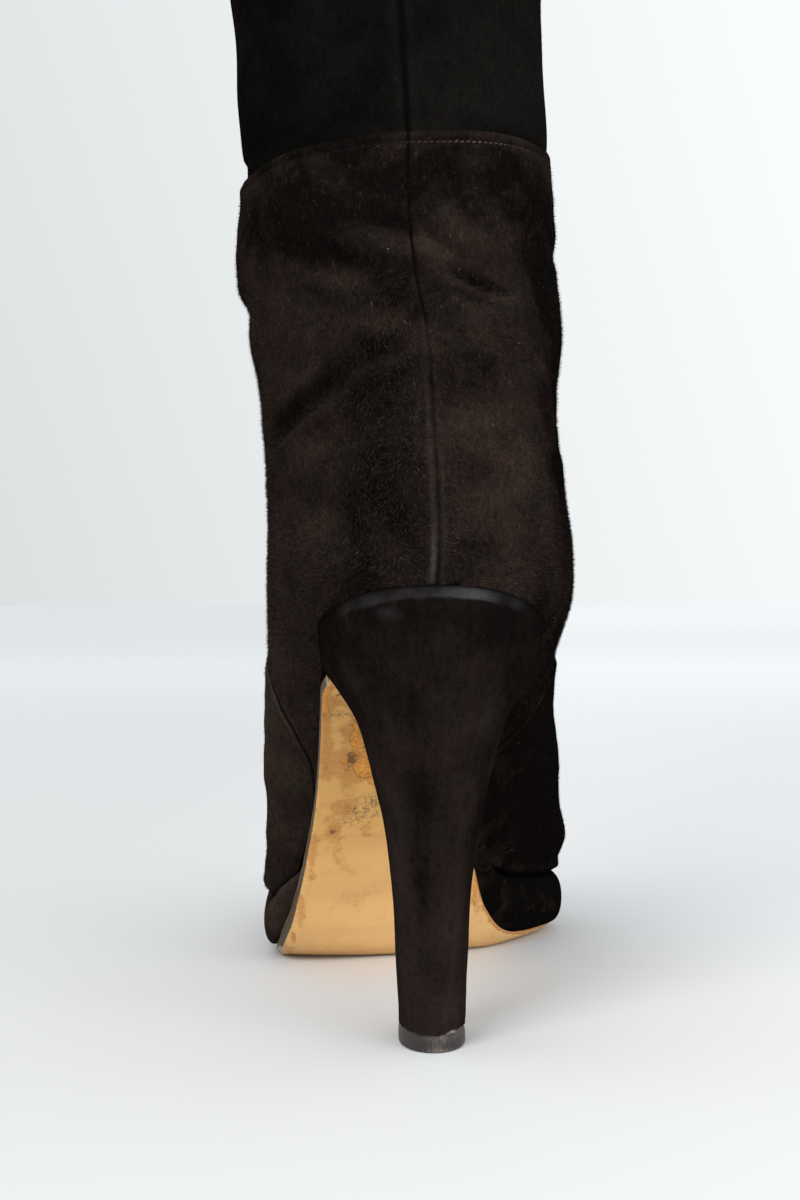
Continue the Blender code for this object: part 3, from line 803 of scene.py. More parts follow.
@dataclass
class Surface:
    """A grid on the leg or foot: its points, their shares across and which rows are closed."""

    points: Array
    share: Array
    closed: Array

    MM_PER_DEGREE = 0.72
    LEAST_STEP = 0.05
    STEEPEST = 0.9

    @property
    def turn(self) -> Array:
        """Degrees round the leg from the back seam, positive towards the inner side."""
        return np.copysign((1 - np.abs(self.share)) * 180, self.share)

    @property
    def height(self) -> Array:
        """Height above the floor in millimetres."""
        return self.points[..., 2]

    def turn_from(self, turn: float) -> Array:
        """Signed degrees from a turn, the short way round."""
        return (self.turn - turn + 180) % 360 - 180

    def edge_distance(self) -> Array:
        """Millimetres along each row to its nearer end: the back seam or the feather edge."""
        along = running(np.linalg.norm(np.diff(self.points, axis=1), axis=-1), axis=1)
        return np.minimum(along, along[:, -1:] - along)

    def patches(self, patches: Sequence[Patch], stray: float = 0) -> Array:
        """Sum of soft patches at each point, their outlines straying by some millimetres.

        Args:
            patches: The patches.
            stray: How far their outlines stray.

        Returns:
            The sum.
        """
        total = np.zeros(self.points.shape[:-1])
        aside = 1.5 * stray * ripple(self.points, 15, 81) if stray else 0
        aloft = stray * ripple(self.points, 15, 82) if stray else 0
        for patch in patches:
            across = gauss(self.turn_from(patch.turn) + aside, patch.wide)
            total += patch.amount * across * gauss(self.height - patch.height + aloft, patch.tall)
        return total

    def creases(self, creases: Sequence[Crease]) -> Array:
        """Sum of the creases' relief at each point, in millimetres."""
        return sum(self._crease(crease) for crease in creases)

    def _crease(self, crease: Crease, samples: int = 25, rounds: int = 8) -> Array:
        """Relief of one crease.

        Args:
            crease: The crease.
            samples: Points along its route.
            rounds: How often the route is smoothed.

        Returns:
            Millimetres, one for each point.
        """
        t = np.linspace(0, 1, samples)[:, None]
        start, middle, end = np.array([crease.start, crease.middle, crease.end])
        pull = 2 * middle - 0.5 * (start + end)
        route = (1 - t) ** 2 * start + 2 * t * (1 - t) * pull + t**2 * end
        places = np.array([self._spot(*spot) for spot in route])
        for _ in range(rounds):
            places[1:-1] = (places[:-2] + 2 * places[1:-1] + places[2:]) / 4
        flat = self.points.reshape(-1, 3)
        nearest = np.full(len(flat), 1e9)
        along = np.zeros(len(flat))
        above = np.zeros(len(flat))
        for step, (near, far) in enumerate(zip(places[:-1], places[1:])):
            run = far - near
            share = np.clip((flat - near) @ run / max(float(run @ run), 1e-9), 0, 1)
            foot = near + share[:, None] * run
            distance = np.linalg.norm(flat - foot, axis=1)
            closer = distance < nearest
            nearest = np.where(closer, distance, nearest)
            along = np.where(closer, (step + share) / (samples - 1), along)
            above = np.where(closer, flat[:, 2] - foot[:, 2], above)
        taper = np.sin(math.pi * (0.06 + 0.88 * along)) ** 0.8
        upward = np.clip(above / crease.width, -1, 1) * 0.5 + 0.5
        beside = gauss(nearest - 1.9 * crease.width, crease.width * 0.9)
        ridge = crease.ridge_above * upward + crease.ridge_below * (1 - upward)
        relief = taper * (ridge * beside - crease.depth * gauss(nearest, crease.width))
        return relief.reshape(self.points.shape[:-1])

    def _spot(self, turn: float, height: float) -> Array:
        """The grid point nearest to a turn and a height."""
        gap = (self.turn_from(turn) * self.MM_PER_DEGREE) ** 2 + (self.height - height) ** 2
        return self.points.reshape(-1, 3)[int(np.argmin(gap))]

    def tilt(self, relief: Array, down: Array) -> Array:
        """How far the relief turns the surface up and towards the outer side, as a slope.

        Args:
            relief: The relief in millimetres.
            down: Millimetres down each column from the first row.

        Returns:
            The slopes.
        """
        fall = np.gradient(relief, axis=0) / np.maximum(np.gradient(down, axis=0), self.LEAST_STEP)
        steps = np.linalg.norm(np.gradient(self.points, axis=1), axis=-1)
        inward = np.gradient(relief, axis=1) / np.maximum(steps, self.LEAST_STEP)
        return np.clip(fall + 0.5 * inward, -self.STEEPEST, self.STEEPEST)


def even_places(
    surface: Callable[[Array, Array], Array],
    last: float,
    pitch: float,
    closer: Callable[[Array], Array],
    samples: int = 1600,
) -> Array:
    """Places of rows that lie about evenly along a surface.

    Args:
        surface: Points at places and shares.
        last: The last row's place; the first row's is 0.
        pitch: Distance between rows in millimetres.
        closer: How many times closer the rows lie at each place.
        samples: How many places the surface is measured at.

    Returns:
        The rows' places.
    """
    dense = np.linspace(0, last, samples)
    place, share = np.broadcast_arrays(dense[:, None], np.linspace(-0.9, 0.9, 9)[None, :])
    steps = np.linalg.norm(np.diff(surface(place, share), axis=0), axis=-1).max(axis=1)
    return evenly(dense, steps * closer((dense[1:] + dense[:-1]) / 2), pitch)


def brushed(fall: Array, normals: Array, swirl: Array) -> Array:
    """Directions of a nap that is brushed down a surface and turned aside by some radians."""
    across = np.cross(normals, fall)
    return unit(fall * np.cos(swirl)[..., None] + across * np.sin(swirl)[..., None])


# ---- Node trees ----


class Signal:
    """A number in a node tree; arithmetic on it adds Math nodes."""

    def __init__(self, graph: "Graph", socket: bpy.types.NodeSocket) -> None:
        """Wrap an output socket of a graph."""
        self.graph = graph
        self.socket = socket

    def _math(self, operation: str, *values: Any) -> "Signal":
        """A Math node on values."""
        return self.graph.add("ShaderNodeMath", {"operation": operation}, dict(enumerate(values)))

    def __add__(self, other: Any) -> "Signal":
        """Sum."""
        return self._math("ADD", self, other)

    __radd__ = __add__

    def __sub__(self, other: Any) -> "Signal":
        """Difference."""
        return self._math("SUBTRACT", self, other)

    def __rsub__(self, other: Any) -> "Signal":
        """Difference from a number."""
        return self._math("SUBTRACT", other, self)

    def __mul__(self, other: Any) -> "Signal":
        """Product."""
        return self._math("MULTIPLY", self, other)

    __rmul__ = __mul__

    def clamped(self) -> "Signal":
        """Held between 0 and 1."""
        return self._math("MINIMUM", self._math("MAXIMUM", self, 0), 1)

    def at_least(self, other: Any) -> "Signal":
        """The larger of two."""
        return self._math("MAXIMUM", self, other)

    def stepped(self, low: float, high: float) -> "Signal":
        """Smooth step from 0 at low to 1 at high.

        Args:
            low: Where the step starts.
            high: Where it ends.

        Returns:
            The step.
        """
        settings = {"interpolation_type": "SMOOTHSTEP"}
        inputs = {"Value": self, "From Min": low, "From Max": high, "To Min": 0, "To Max": 1}
        return self.graph.add("ShaderNodeMapRange", settings, inputs)


class Graph:
    """A node tree under construction."""

    def __init__(self, tree: bpy.types.NodeTree) -> None:
        """Wrap an empty or existing tree."""
        self.tree = tree

    @staticmethod
    def _pick(sockets: Any, key: str | int) -> bpy.types.NodeSocket:
        """The socket of a number or of a name, hidden twins left out."""
        if isinstance(key, int):
            return sockets[key]
        return next(socket for socket in sockets if socket.name == key and socket.enabled)

    def node(
        self, kind: str, settings: dict[str, Any] | None = None, inputs: dict[Any, Any] | None = None
    ) -> Any:
        """Add a node.

        Args:
            kind: The node's type.
            settings: Properties, set before the sockets.
            inputs: Values or links of its sockets, by name or number.

        Returns:
            The node.
        """
        made = self.tree.nodes.new(kind)
        for name, value in (settings or {}).items():
            setattr(made, name, value)
        for key, value in (inputs or {}).items():
            socket = self._pick(made.inputs, key)
            if isinstance(value, Signal):
                value = value.socket
            if isinstance(value, bpy.types.NodeSocket):
                self.tree.links.new(value, socket)
            else:
                socket.default_value = value
        return made

    def add(
        self,
        kind: str,
        settings: dict[str, Any] | None = None,
        inputs: dict[Any, Any] | None = None,
        output: str | int | None = None,
    ) -> Signal:
        """Add a node and return one of its outputs, the first that is in use if none is named.

        Args:
            kind: The node's type.
            settings: Properties, set before the sockets.
            inputs: Values or links of its sockets.
            output: Name or number of the output.

        Returns:
            The output.
        """
        made = self.node(kind, settings, inputs)
        if output is None:
            return Signal(self, next(socket for socket in made.outputs if socket.enabled))
        return Signal(self, self._pick(made.outputs, output))

    def vector(self, operation: str, *values: Any, **named: Any) -> Signal:
        """A Vector Math node on vectors."""
        inputs = dict(enumerate(values)) | {key.capitalize(): value for key, value in named.items()}
        return self.add("ShaderNodeVectorMath", {"operation": operation}, inputs)

    def mix(self, factor: Any, a: Any, b: Any) -> Signal:
        """Blend of two colours."""
        return self.add("ShaderNodeMix", {"data_type": "RGBA"}, {"Factor": factor, "A": a, "B": b})

    def layered(self, base: Any, *layers: tuple[Any, Any]) -> Any:
        """Colours laid over a base in turn, each layer a cover and its colour."""
        for cover, tint in layers:
            base = self.mix(cover, base, tint)
        return base


class Paint(Graph):
    """A material's node tree, with the maths and patterns its finishes are made of."""

    def __init__(self, name: str) -> None:
        """Start a material with one Principled shader.

        Args:
            name: The material's name.
        """
        self.material = bpy.data.materials.new(name)
        self.material.use_nodes = True
        super().__init__(self.material.node_tree)
        self.shader = self.tree.nodes["Principled BSDF"]
        place = self.add("ShaderNodeTexCoord", output="Object")
        self.place = self.vector("SCALE", place, scale=1 / MM)

    def mark(self, name: str) -> Signal:
        """A point attribute of the mesh."""
        return self.add("ShaderNodeAttribute", {"attribute_name": name}, output="Fac")

    def stretched(self, x: float, y: float, z: float) -> Signal:
        """The place in millimetres, stretched along the axes."""
        return self.vector("MULTIPLY", self.place, (x, y, z))

    def noise(
        self,
        size: float,
        detail: float = 2,
        rough: float = 0.5,
        twist: float = 0,
        where: Signal | None = None,
    ) -> Signal:
        """Noise from 0 to 1 with lumps of a size in millimetres.

        Args:
            size: How large the lumps are.
            detail: How many finer layers are added.
            rough: How strong the finer layers are.
            twist: How far the lumps are bent.
            where: Place it is read at, the plain place if none is given.

        Returns:
            The noise.
        """
        inputs = {"Vector": where or self.place, "Scale": 1 / size, "Detail": detail}
        inputs |= {"Roughness": rough, "Distortion": twist}
        return self.add("ShaderNodeTexNoise", None, inputs, "Fac")

    def bump(
        self, height: Signal, distance: float, strength: float = 1, normal: Signal | None = None
    ) -> Signal:
        """Normals bumped by a height.

        Args:
            height: The height, from 0 to 1.
            distance: Millimetres that a height of 1 stands for.
            strength: How much of the bump is shown.
            normal: Normals that are bumped already.

        Returns:
            The normals.
        """
        inputs: dict[str, Any] = {"Height": height, "Distance": distance * MM, "Strength": strength}
        if normal is not None:
            inputs["Normal"] = normal
        return self.add("ShaderNodeBump", None, inputs)

    def set(self, **values: Any) -> Material:
        """Set the shader's sockets, underscores standing for spaces, and return the material."""
        for key, value in values.items():
            socket = self.shader.inputs[key.replace("_", " ")]
            if isinstance(value, Signal):
                self.tree.links.new(value.socket, socket)
            else:
                socket.default_value = value
        return self.material


def colour(red: float, green: float, blue: float) -> Tint:
    """Linear colour of screen values from 0 to 255.

    Args:
        red: Red.
        green: Green.
        blue: Blue.

    Returns:
        The colour with an alpha of 1.
    """
    linear = []
    for value in (red, green, blue):
        share = value / 255
        linear.append(share / 12.92 if share <= 0.04045 else ((share + 0.055) / 1.055) ** 2.4)
    return (*linear, 1)


# ---- Finishes ----


@dataclass(frozen=True)
class Suede:
    """Brushed suede: a dark ground, lighter where the nap lies over, dusty and in places worn; its tone
    attribute also carries painted shade and light, and where it shines it is rubbed glossy and lit by a
    painted highlight.
    """

    name: str
    ground: Tint
    brushed: Tint
    dusty: Tint
    grain: float = 0.25
    mottle_size: float = 7.0
    mottling: float = 1
    warmth: float = 0
    speckle: float = 0.3
    streaks: float = 0
    dust: float = 0
    rubbed_and_highlight: Tint | None = None

    SHADOW = (0.0016, 0.0013, 0.001, 1)
    LINT = colour(120, 112, 102)
    FRAYED = colour(132, 124, 114)

    def material(self) -> Material:
        """Build the material.

        Returns:
            The material.
        """
        paint = Paint(self.name)
        # The tone attribute holds the nap's lie and, on each piece, painted shade and light.
        tone = paint.mark("tone")
        mottle = paint.noise(self.mottle_size, 4, 0.6, 0.6)
        broad = paint.noise(self.mottle_size * 4, 2, 0.5)
        strands = paint.noise(0.7, 3, 0.7, where=paint.stretched(1, 1, 0.35))
        tufts = paint.noise(1.7, 3, 0.65, 0.4)
        lie = tone * 0.75 + 0.36 + ((mottle - 0.5) * 0.9 + (broad - 0.5) * 0.7) * self.mottling
        lie = lie + (tufts - 0.5) * 0.4
        if self.streaks:
            streak = paint.noise(1.8, 3, 0.6, where=paint.stretched(1, 1, 0.1))
            lie = lie + (streak - 0.5) * self.streaks
        lie = lie.clamped()
        speck = (strands * 0.65 + tufts * 0.35).stepped(0.53, 0.72)
        shadow = (strands * 0.6 + tufts * 0.4).stepped(0.48, 0.33)
        cloth = paint.layered(
            self.ground,
            (lie, self._brushed(paint)),
            ((speck * self.speckle * (0.35 + lie)).clamped(), self.dusty),
            (shadow * 0.5, self.SHADOW),
        )
        if self.dust:
            lint = paint.noise(0.9, 1, 0.4).stepped(0.745, 0.78)
            cloth = paint.mix(lint * self.dust, cloth, self.LINT)
        height = strands * 0.55 + tufts * 0.45
        normal = paint.bump(height, self.grain, 0.9, paint.bump(mottle, 0.4, 0.5))
        paint.set(Roughness=0.95, Specular_IOR_Level=0, Normal=normal)
        if self.rubbed_and_highlight is None:
            return paint.set(Base_Color=cloth)
        shine = paint.mark("shine")
        # Shine: rubbed, glossy wear whose colour also carries a painted highlight.
        wrinkle = paint.noise(0.8, 2, 0.6, where=paint.stretched(0.35, 0.35, 1))
        polish_and_highlight = shine * (0.25 + 0.9 * mottle + 0.8 * (wrinkle - 0.2)) + (tufts - 0.5) * 0.3 * shine
        polish_and_highlight = polish_and_highlight.clamped()
        fray = (paint.mark("fray") + (strands - 0.5) * 0.9 + (tufts - 0.5) * 0.5).stepped(0.5, 0.8)
        cloth = paint.layered(cloth, (polish_and_highlight, self.rubbed_and_highlight), (fray * 0.8, self.FRAYED))
        return paint.set(Base_Color=cloth, Coat_Weight=polish_and_highlight * 0.4, Coat_Roughness=0.42)

    def _brushed(self, paint: Paint) -> Signal | Tint:
        """Colour of the nap where it lies over: in places a little warmer, in places cooler.

        Args:
            paint: The material's tree.

        Returns:
            The colour.
        """
        if not self.warmth:
            return self.brushed
        red, green, blue, _ = self.brushed
        warm = (red * (1 + self.warmth), green * (1 - 0.2 * self.warmth), blue, 1)
        cool = (red * (1 - 0.7 * self.warmth), green, blue * (1 - 0.2 * self.warmth), 1)
        return paint.mix(paint.noise(9, 4, 0.6, 0.4).stepped(0.38, 0.62), cool, warm)


@dataclass(frozen=True)
class Fibre:
    """The nap's own fibres: dark where the nap is short, paler where it is long, a few like lint."""

    name: str
    dark: Tint
    pale: Tint
    lint: float

    LINT = colour(150, 141, 130)

    def material(self) -> Material:
        """Build the material.

        Returns:
            The material.
        """
        paint = Paint(self.name)
        picked = paint.mark("fibre")
        thick = paint.mark("nap").stepped(0.1, 0.9)
        # Fibres are paler where the tone attribute is higher, so they also carry its painted shade and
        # light.
        pale = picked.stepped(0.35, 1.2) * (0.36 + 0.4 * paint.mark("tone") + 0.62 * thick)
        stray = picked.stepped(1 - self.lint, 1 - self.lint / 2)
        tint = paint.layered(self.dark, (pale.clamped(), self.pale), (stray * 0.6, self.LINT))
        return paint.set(Base_Color=tint, Roughness=0.9, Specular_IOR_Level=0)


@dataclass(frozen=True)
class SoleLeather:
    """Tan sole leather with a smooth grain, worn pale at its edge and stained by use."""

    name: str = "sole_leather"
    grain: float = 0.05
    tan: Tint = colour(218, 168, 94)
    forefoot: Tint = colour(227, 182, 122)
    cloudy: Tint = colour(224, 178, 108)
    mottled: Tint = colour(190, 138, 78)
    fine_grain: Tint = colour(180, 128, 72)
    blotched: Tint = colour(184, 118, 56)
    outlined: Tint = colour(146, 92, 46)
    flake_dark: Tint = colour(168, 92, 20)
    flake_pale: Tint = colour(246, 178, 84)
    flake_rim: Tint = colour(120, 66, 24)
    dirty: Tint = colour(92, 62, 48)
    cracked: Tint = colour(66, 42, 26)
    speckled: Tint = colour(236, 212, 172)
    browned: Tint = colour(170, 108, 48)
    ink: Tint = colour(34, 28, 24)
    ink_worn: Tint = colour(92, 78, 64)
    torn: Tint = colour(178, 168, 148)

    def material(self) -> Material:
        """Build the material.

        Returns:
            The material.
        """
        paint = Paint(self.name)
        front = paint.mark("front")
        mottle = paint.noise(8, 4, 0.6, 0.8)
        cloud = paint.noise(24, 3, 0.5, 1.2)
        fine = paint.noise(1.1, 3, 0.7)
        pores = paint.noise(0.4, 2, 0.6)

        def broken(name: str, strength: float, patchy: float, grainy: float) -> Signal:
            """A mark whose outline the mottle and the grain break up."""
            return paint.mark(name) * strength + (mottle - 0.5) * patchy + (fine - 0.5) * grainy

        flake = broken("flaked", 1.3, 1.2, 0.8).stepped(0.42, 0.6)
        blotch = broken("stain", 1.2, 1.5, 0.5).stepped(0.1, 0.8)
        dirt = broken("dirt", 0.9, 1.2, 2.6).stepped(0.35, 0.95) * (paint.mark("dirt") * 1.6).clamped()
        outline = (blotch * (1 - blotch) * 4 - 0.7).clamped() * 3
        crackled = paint.mix((fine * 1.6 + pores * 0.8 - 0.7).clamped(), self.flake_dark, self.flake_pale)
        crack = self._crack(paint, 9, 0.016) + self._crack(paint, 5, 0.012)
        crack = (crack * (paint.mark("cracked") * 1.2 + (mottle - 0.55) * 0.9).clamped()).clamped()
        speck = (fine * 0.6 + pores * 0.4).stepped(0.69, 0.74)
        edge = (paint.mark("border") + (fine - 0.5) * 0.8).stepped(0.35, 0.8)
        inked = (paint.mark("inked") + (fine - 0.5) * 0.5).stepped(0.35, 0.65)
        raw = (paint.mark("raw") + (paint.noise(1.4, 3, 0.7) - 0.5) * 0.8).stepped(0.45, 0.7)
        base = paint.layered(
            self.tan,
            (front, self.forefoot),
            ((cloud - 0.35).clamped() * 0.9, self.cloudy),
            ((mottle - 0.45).clamped() * 1.6 * (1.15 - front), self.mottled),
            ((fine - 0.5).clamped() * 0.5, self.fine_grain),
            (blotch * 0.55, self.blotched),
            ((outline * (mottle + fine - 0.6)).clamped() * 0.4, self.outlined),
            (flake * 0.9, crackled),
            ((flake * (1 - flake) * 3).clamped() * 0.7, self.flake_rim),
            (dirt * 0.8, self.dirty),
            (crack * 0.9, self.cracked),
            (speck * 0.5, self.speckled),
            (edge * 0.75, self.browned),
            (inked, paint.mix(paint.mark("worn_ink"), self.ink, self.ink_worn)),
            (raw * 0.85, self.torn),
        )
        rough = 0.5 + 0.2 * mottle + 0.15 * blotch
        relief = paint.bump(mottle * 0.4 + flake * 0.4 - crack, 0.25, 0.6)
        normal = paint.bump(pores, self.grain, 0.5, relief)
        return paint.set(Base_Color=base, Roughness=rough, Specular_IOR_Level=0.35, Normal=normal)

    @staticmethod
    def _crack(paint: Paint, size: float, width: float) -> Signal:
        """Thin wandering lines of a size.

        Args:
            paint: The material's tree.
            size: Size of the lines' bends in millimetres.
            width: How wide the lines are.

        Returns:
            1 on the lines and 0 away from them.
        """
        field = paint.noise(size, 5, 0.62, 1.4)
        away = (field - 0.5).at_least(0.5 - field)
        return 1 - away.stepped(0, width)


@dataclass(frozen=True)
class Rubber:
    """Dark grey tip rubber, scuffed pale where it has been dragged."""

    name: str = "tip_rubber"
    tint: Tint = colour(43, 38, 36)
    scuffed: Tint = colour(112, 104, 100)

    def material(self) -> Material:
        """Build the material.

        Returns:
            The material.
        """
        paint = Paint(self.name)
        wide = paint.noise(4.5, 4, 0.65, 0.5)
        drag = paint.noise(0.8, 3, 0.7, where=paint.stretched(1.3, 1.3, 0.3))
        scuff = (paint.mark("scuff") * 0.8 + wide * 0.6 + (drag - 0.5) * 1.1 - 0.3).stepped(0.25, 0.85)
        base = paint.mix(scuff * 0.75, self.tint, self.scuffed)
        normal = paint.bump(drag * 0.6 + wide * 0.4, 0.18, 0.7)
        rough = 0.5 + 0.3 * scuff
        return paint.set(Base_Color=base, Roughness=rough, Specular_IOR_Level=0.35, Normal=normal)


@dataclass(frozen=True)
class Plain:
    """A leather or textile of one colour with a fine grain: lining, sock and thread."""

    name: str
    tint: Tint
    shade: Tint
    rough: float
    grain_size: float
    grain: float

    def material(self) -> Material:
        """Build the material.

        Returns:
            The material.
        """
        paint = Paint(self.name)
        broad = paint.noise(self.grain_size * 14, 3, 0.5)
        fine = paint.noise(self.grain_size, 2, 0.6)
        base = paint.mix((broad * 0.7 + fine * 0.3).stepped(0.3, 0.7), self.shade, self.tint)
        normal = paint.bump(fine, self.grain, 0.7)
        return paint.set(Base_Color=base, Roughness=self.rough, Specular_IOR_Level=0.3, Normal=normal)


@dataclass(frozen=True)
class Thread:
    """Sewing thread, pale where the seam is bare and dark where the nap lies over it."""

    name: str
    pale: Tint
    dark: Tint

    def material(self) -> Material:
        """Build the material.

        Returns:
            The material.
        """
        paint = Paint(self.name)
        twist = paint.noise(0.25, 2, 0.6)
        bare = (paint.mark("pale") * (paint.noise(2.4, 2, 0.5) * 2.4 - 0.35)).clamped()
        tint = paint.mix(bare, self.dark, self.pale)
        normal = paint.bump(twist, 0.06)
        return paint.set(Base_Color=tint, Roughness=0.8, Specular_IOR_Level=0.1, Normal=normal)


class Finish(Enum):
    """The boot's finishes."""

    UPPER = Suede(
        "upper_suede", colour(12, 10, 9), colour(50, 41, 36), colour(74, 62, 54),
        grain=0.3, mottling=0.5, warmth=0.12, speckle=0.42, dust=0.1, rubbed_and_highlight=colour(64, 60, 53),
    )
    SHAFT = Suede(
        "shaft_suede", colour(8, 8, 7), colour(22, 20, 18), colour(36, 32, 29), grain=0.15, mottle_size=9
    )
    HEEL = Suede(
        "heel_suede", colour(14, 11, 10), colour(40, 33, 30), colour(60, 50, 46),
        grain=0.2, mottle_size=6, mottling=0.4, warmth=0.08, speckle=0.2, streaks=0.5,
        rubbed_and_highlight=colour(64, 65, 65),
    )
    PLATFORM = Suede(
        "platform_suede", colour(11, 10, 9), colour(56, 46, 41), colour(72, 62, 55),
        grain=0.22, mottle_size=6,
    )
    UPPER_NAP = Fibre("upper_nap", colour(15, 12, 10), colour(86, 75, 65), 0.002)
    SHAFT_NAP = Fibre("shaft_nap", colour(9, 8, 8), colour(40, 36, 33), 0.0015)
    HEEL_NAP = Fibre("heel_nap", colour(15, 12, 11), colour(66, 56, 50), 0.0012)
    SOLE = SoleLeather()
    RUBBER = Rubber()
    LINING = Plain("foot_lining", colour(150, 122, 92), colour(122, 98, 74), 0.6, 0.6, 0.08)
    LEG_LINING = Plain("leg_lining", colour(46, 38, 34), colour(36, 30, 27), 0.75, 0.4, 0.1)
    SOCK = Plain("insole_leather", colour(172, 140, 106), colour(146, 116, 86), 0.55, 0.7, 0.08)
    THREAD = Thread("edge_thread", colour(84, 62, 54), colour(12, 10, 9))
    FRAY = Fibre("raw_fibres", colour(120, 96, 66), colour(226, 214, 190), 0.02)


class Wardrobe(dict):
    """Makes each finish's material once, when it is first asked for."""

    def __missing__(self, finish: Finish) -> Material:
        """Make and keep a finish's material."""
        self[finish] = finish.value.material()
        return self[finish]


# ---- What repeats: stitches and nap ----


class Growth(Graph):
    """A Geometry Nodes tree that grows small shapes on a carrier and makes them one mesh."""

    def __init__(self, name: str, sizes: dict[str, float]) -> None:
        """Start a tree whose named inputs are sizes in metres, counts and shares.

        Args:
            name: The tree's name.
            sizes: Its inputs and their values.
        """
        tree = bpy.data.node_groups.new(name, "GeometryNodeTree")
        super().__init__(tree)
        self.sizes = sizes
        tree.interface.new_socket("Geometry", in_out="INPUT", socket_type="NodeSocketGeometry")
        for key in sizes:
            tree.interface.new_socket(key, in_out="INPUT", socket_type="NodeSocketFloat")
        tree.interface.new_socket("Geometry", in_out="OUTPUT", socket_type="NodeSocketGeometry")
        self.entry = self.node("NodeGroupInput")

    def given(self, name: str) -> Signal:
        """One of the tree's inputs."""
        return Signal(self, self.entry.outputs[name])

    def mark(self, name: str, kind: str = "FLOAT") -> Signal:
        """A point attribute of the carrier."""
        settings = {"data_type": kind}
        return self.add("GeometryNodeInputNamedAttribute", settings, {"Name": name}, "Attribute")

    def chance(self, low: Any, high: Any, seed: int, kind: str = "FLOAT") -> Signal:
        """A seeded random value for each point."""
        inputs = {"Min": low, "Max": high, "Seed": seed}
        return self.add("FunctionNodeRandomValue", {"data_type": kind}, inputs, "Value")

    def plant(
        self, points: Signal, shape: Signal, way: Signal, away: Signal, size: Sequence[Any]
    ) -> Signal:
        """Put a shape on every point.

        Args:
            points: The points.
            shape: The shape, one unit long.
            way: Direction that the shape's length lies in.
            away: Direction that the shape's back faces.
            size: Its length, width and height in metres.

        Returns:
            The shapes.
        """
        axes = {"primary_axis": "X", "secondary_axis": "Z"}
        inputs = {"Primary Axis": way, "Secondary Axis": away}
        turned = self.add("FunctionNodeAxesToRotation", axes, inputs)
        scale = self.add("ShaderNodeCombineXYZ", None, dict(zip("XYZ", size)))
        inputs = {"Points": points, "Instance": shape, "Rotation": turned, "Scale": scale}
        return self.add("GeometryNodeInstanceOnPoints", None, inputs)

    def finish(self, shapes: Signal, surface: Material) -> None:
        """Realize the instances, give them their material and end the tree.

        Args:
            shapes: The instances.
            surface: Their material.
        """
        plain = self.add("GeometryNodeRealizeInstances", None, {"Geometry": shapes})
        dressed = self.add("GeometryNodeSetMaterial", None, {"Geometry": plain, "Material": surface})
        self.node("NodeGroupOutput", None, {"Geometry": dressed})

    def grow(self, carrier: Piece, name: str) -> Piece:
        """Evaluate the tree on a carrier.

        Args:
            carrier: The object whose mesh the tree reads.
            name: The new piece's name.

        Returns:
            A plain mesh object of what has grown.
        """
        modifier = carrier.modifiers.new(name, "NODES")
        modifier.node_group = self.tree
        for item in self.tree.interface.items_tree:
            if item.in_out == "INPUT" and item.name in self.sizes:
                modifier[item.identifier] = self.sizes[item.name]
        graph = bpy.context.evaluated_depsgraph_get()
        evaluated = carrier.evaluated_get(graph)
        mesh = bpy.data.meshes.new_from_object(evaluated, preserve_all_data_layers=True, depsgraph=graph)
        carrier.modifiers.remove(modifier)
        mesh.name = name
        return show(name, mesh)


@dataclass(frozen=True)
class Nap:
    """Loose fibres that stand on a piece, brushed along its flow."""

    name: str
    finish: Finish
    slot: str
    density: float
    shortest: float
    longest: float
    width: float
    lift: float
    spread: float
    seed: int

    def cover(self, carrier: Piece, wardrobe: Wardrobe) -> Piece:
        """Grow the nap on a piece.

        Args:
            carrier: The piece, whose attributes nap and flow say how much and which way.
            wardrobe: The finishes' materials.

        Returns:
            The nap as one piece.
        """
        sizes = {
            "Fibres per square metre": self.density / MM**2,
            "Shortest": self.shortest * MM,
            "Longest": self.longest * MM,
            "Width": self.width * MM,
            "Lift": self.lift,
            "Spread": self.spread,
        }
        growth = Growth(self.name, sizes)
        amount = growth.mark("nap")
        density = amount * growth.given("Fibres per square metre")
        inputs = {"Mesh": growth.given("Geometry"), "Density": density, "Seed": self.seed}
        scattered = growth.node("GeometryNodeDistributePointsOnFaces", None, inputs)
        roots, normal = (Signal(growth, scattered.outputs[name]) for name in ("Points", "Normal"))
        jitter = growth.chance((-1, -1, -1), (1, 1, 1), self.seed + 1, "FLOAT_VECTOR")
        jitter = growth.vector("SCALE", jitter, scale=growth.given("Spread"))
        way = growth.vector("ADD", growth.mark("flow", "FLOAT_VECTOR"), jitter)
        lift = growth.given("Lift") * growth.chance(0.1, 2, self.seed + 2)
        raised = growth.vector("SCALE", normal, scale=lift + growth.given("Spread") * 0.6)
        way = growth.vector("NORMALIZE", growth.vector("ADD", way, raised))
        length = growth.chance(growth.given("Shortest"), growth.given("Longest"), self.seed + 3)
        size = (length * (0.55 + 0.45 * amount), growth.given("Width"), 1)
        planted = growth.plant(roots, self._blade(growth), way, normal, size)
        settings = {"data_type": "FLOAT", "domain": "INSTANCE"}
        inputs = {"Geometry": planted, "Name": "fibre", "Value": growth.chance(0, 1, self.seed + 4)}
        marked = growth.add("GeometryNodeStoreNamedAttribute", settings, inputs)
        growth.finish(marked, wardrobe[self.finish])
        piece = growth.grow(carrier, self.name)
        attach(piece, BODY)
        return piece

    @staticmethod
    def _blade(growth: Growth) -> Signal:
        """One fibre: a thin triangle one unit long and one wide, from its root along x.

        Args:
            growth: The tree that it grows in.

        Returns:
            The fibre.
        """
        corners = {"Vertices": 3, "Radius": 1}
        circle = growth.add("GeometryNodeMeshCircle", {"fill_type": "NGON"}, corners)
        size = (2 / 3, 1 / math.sqrt(3), 1)
        inputs = {"Geometry": circle, "Translation": (1 / 3, 0, 0), "Scale": size}
        return growth.add("GeometryNodeTransform", None, inputs)


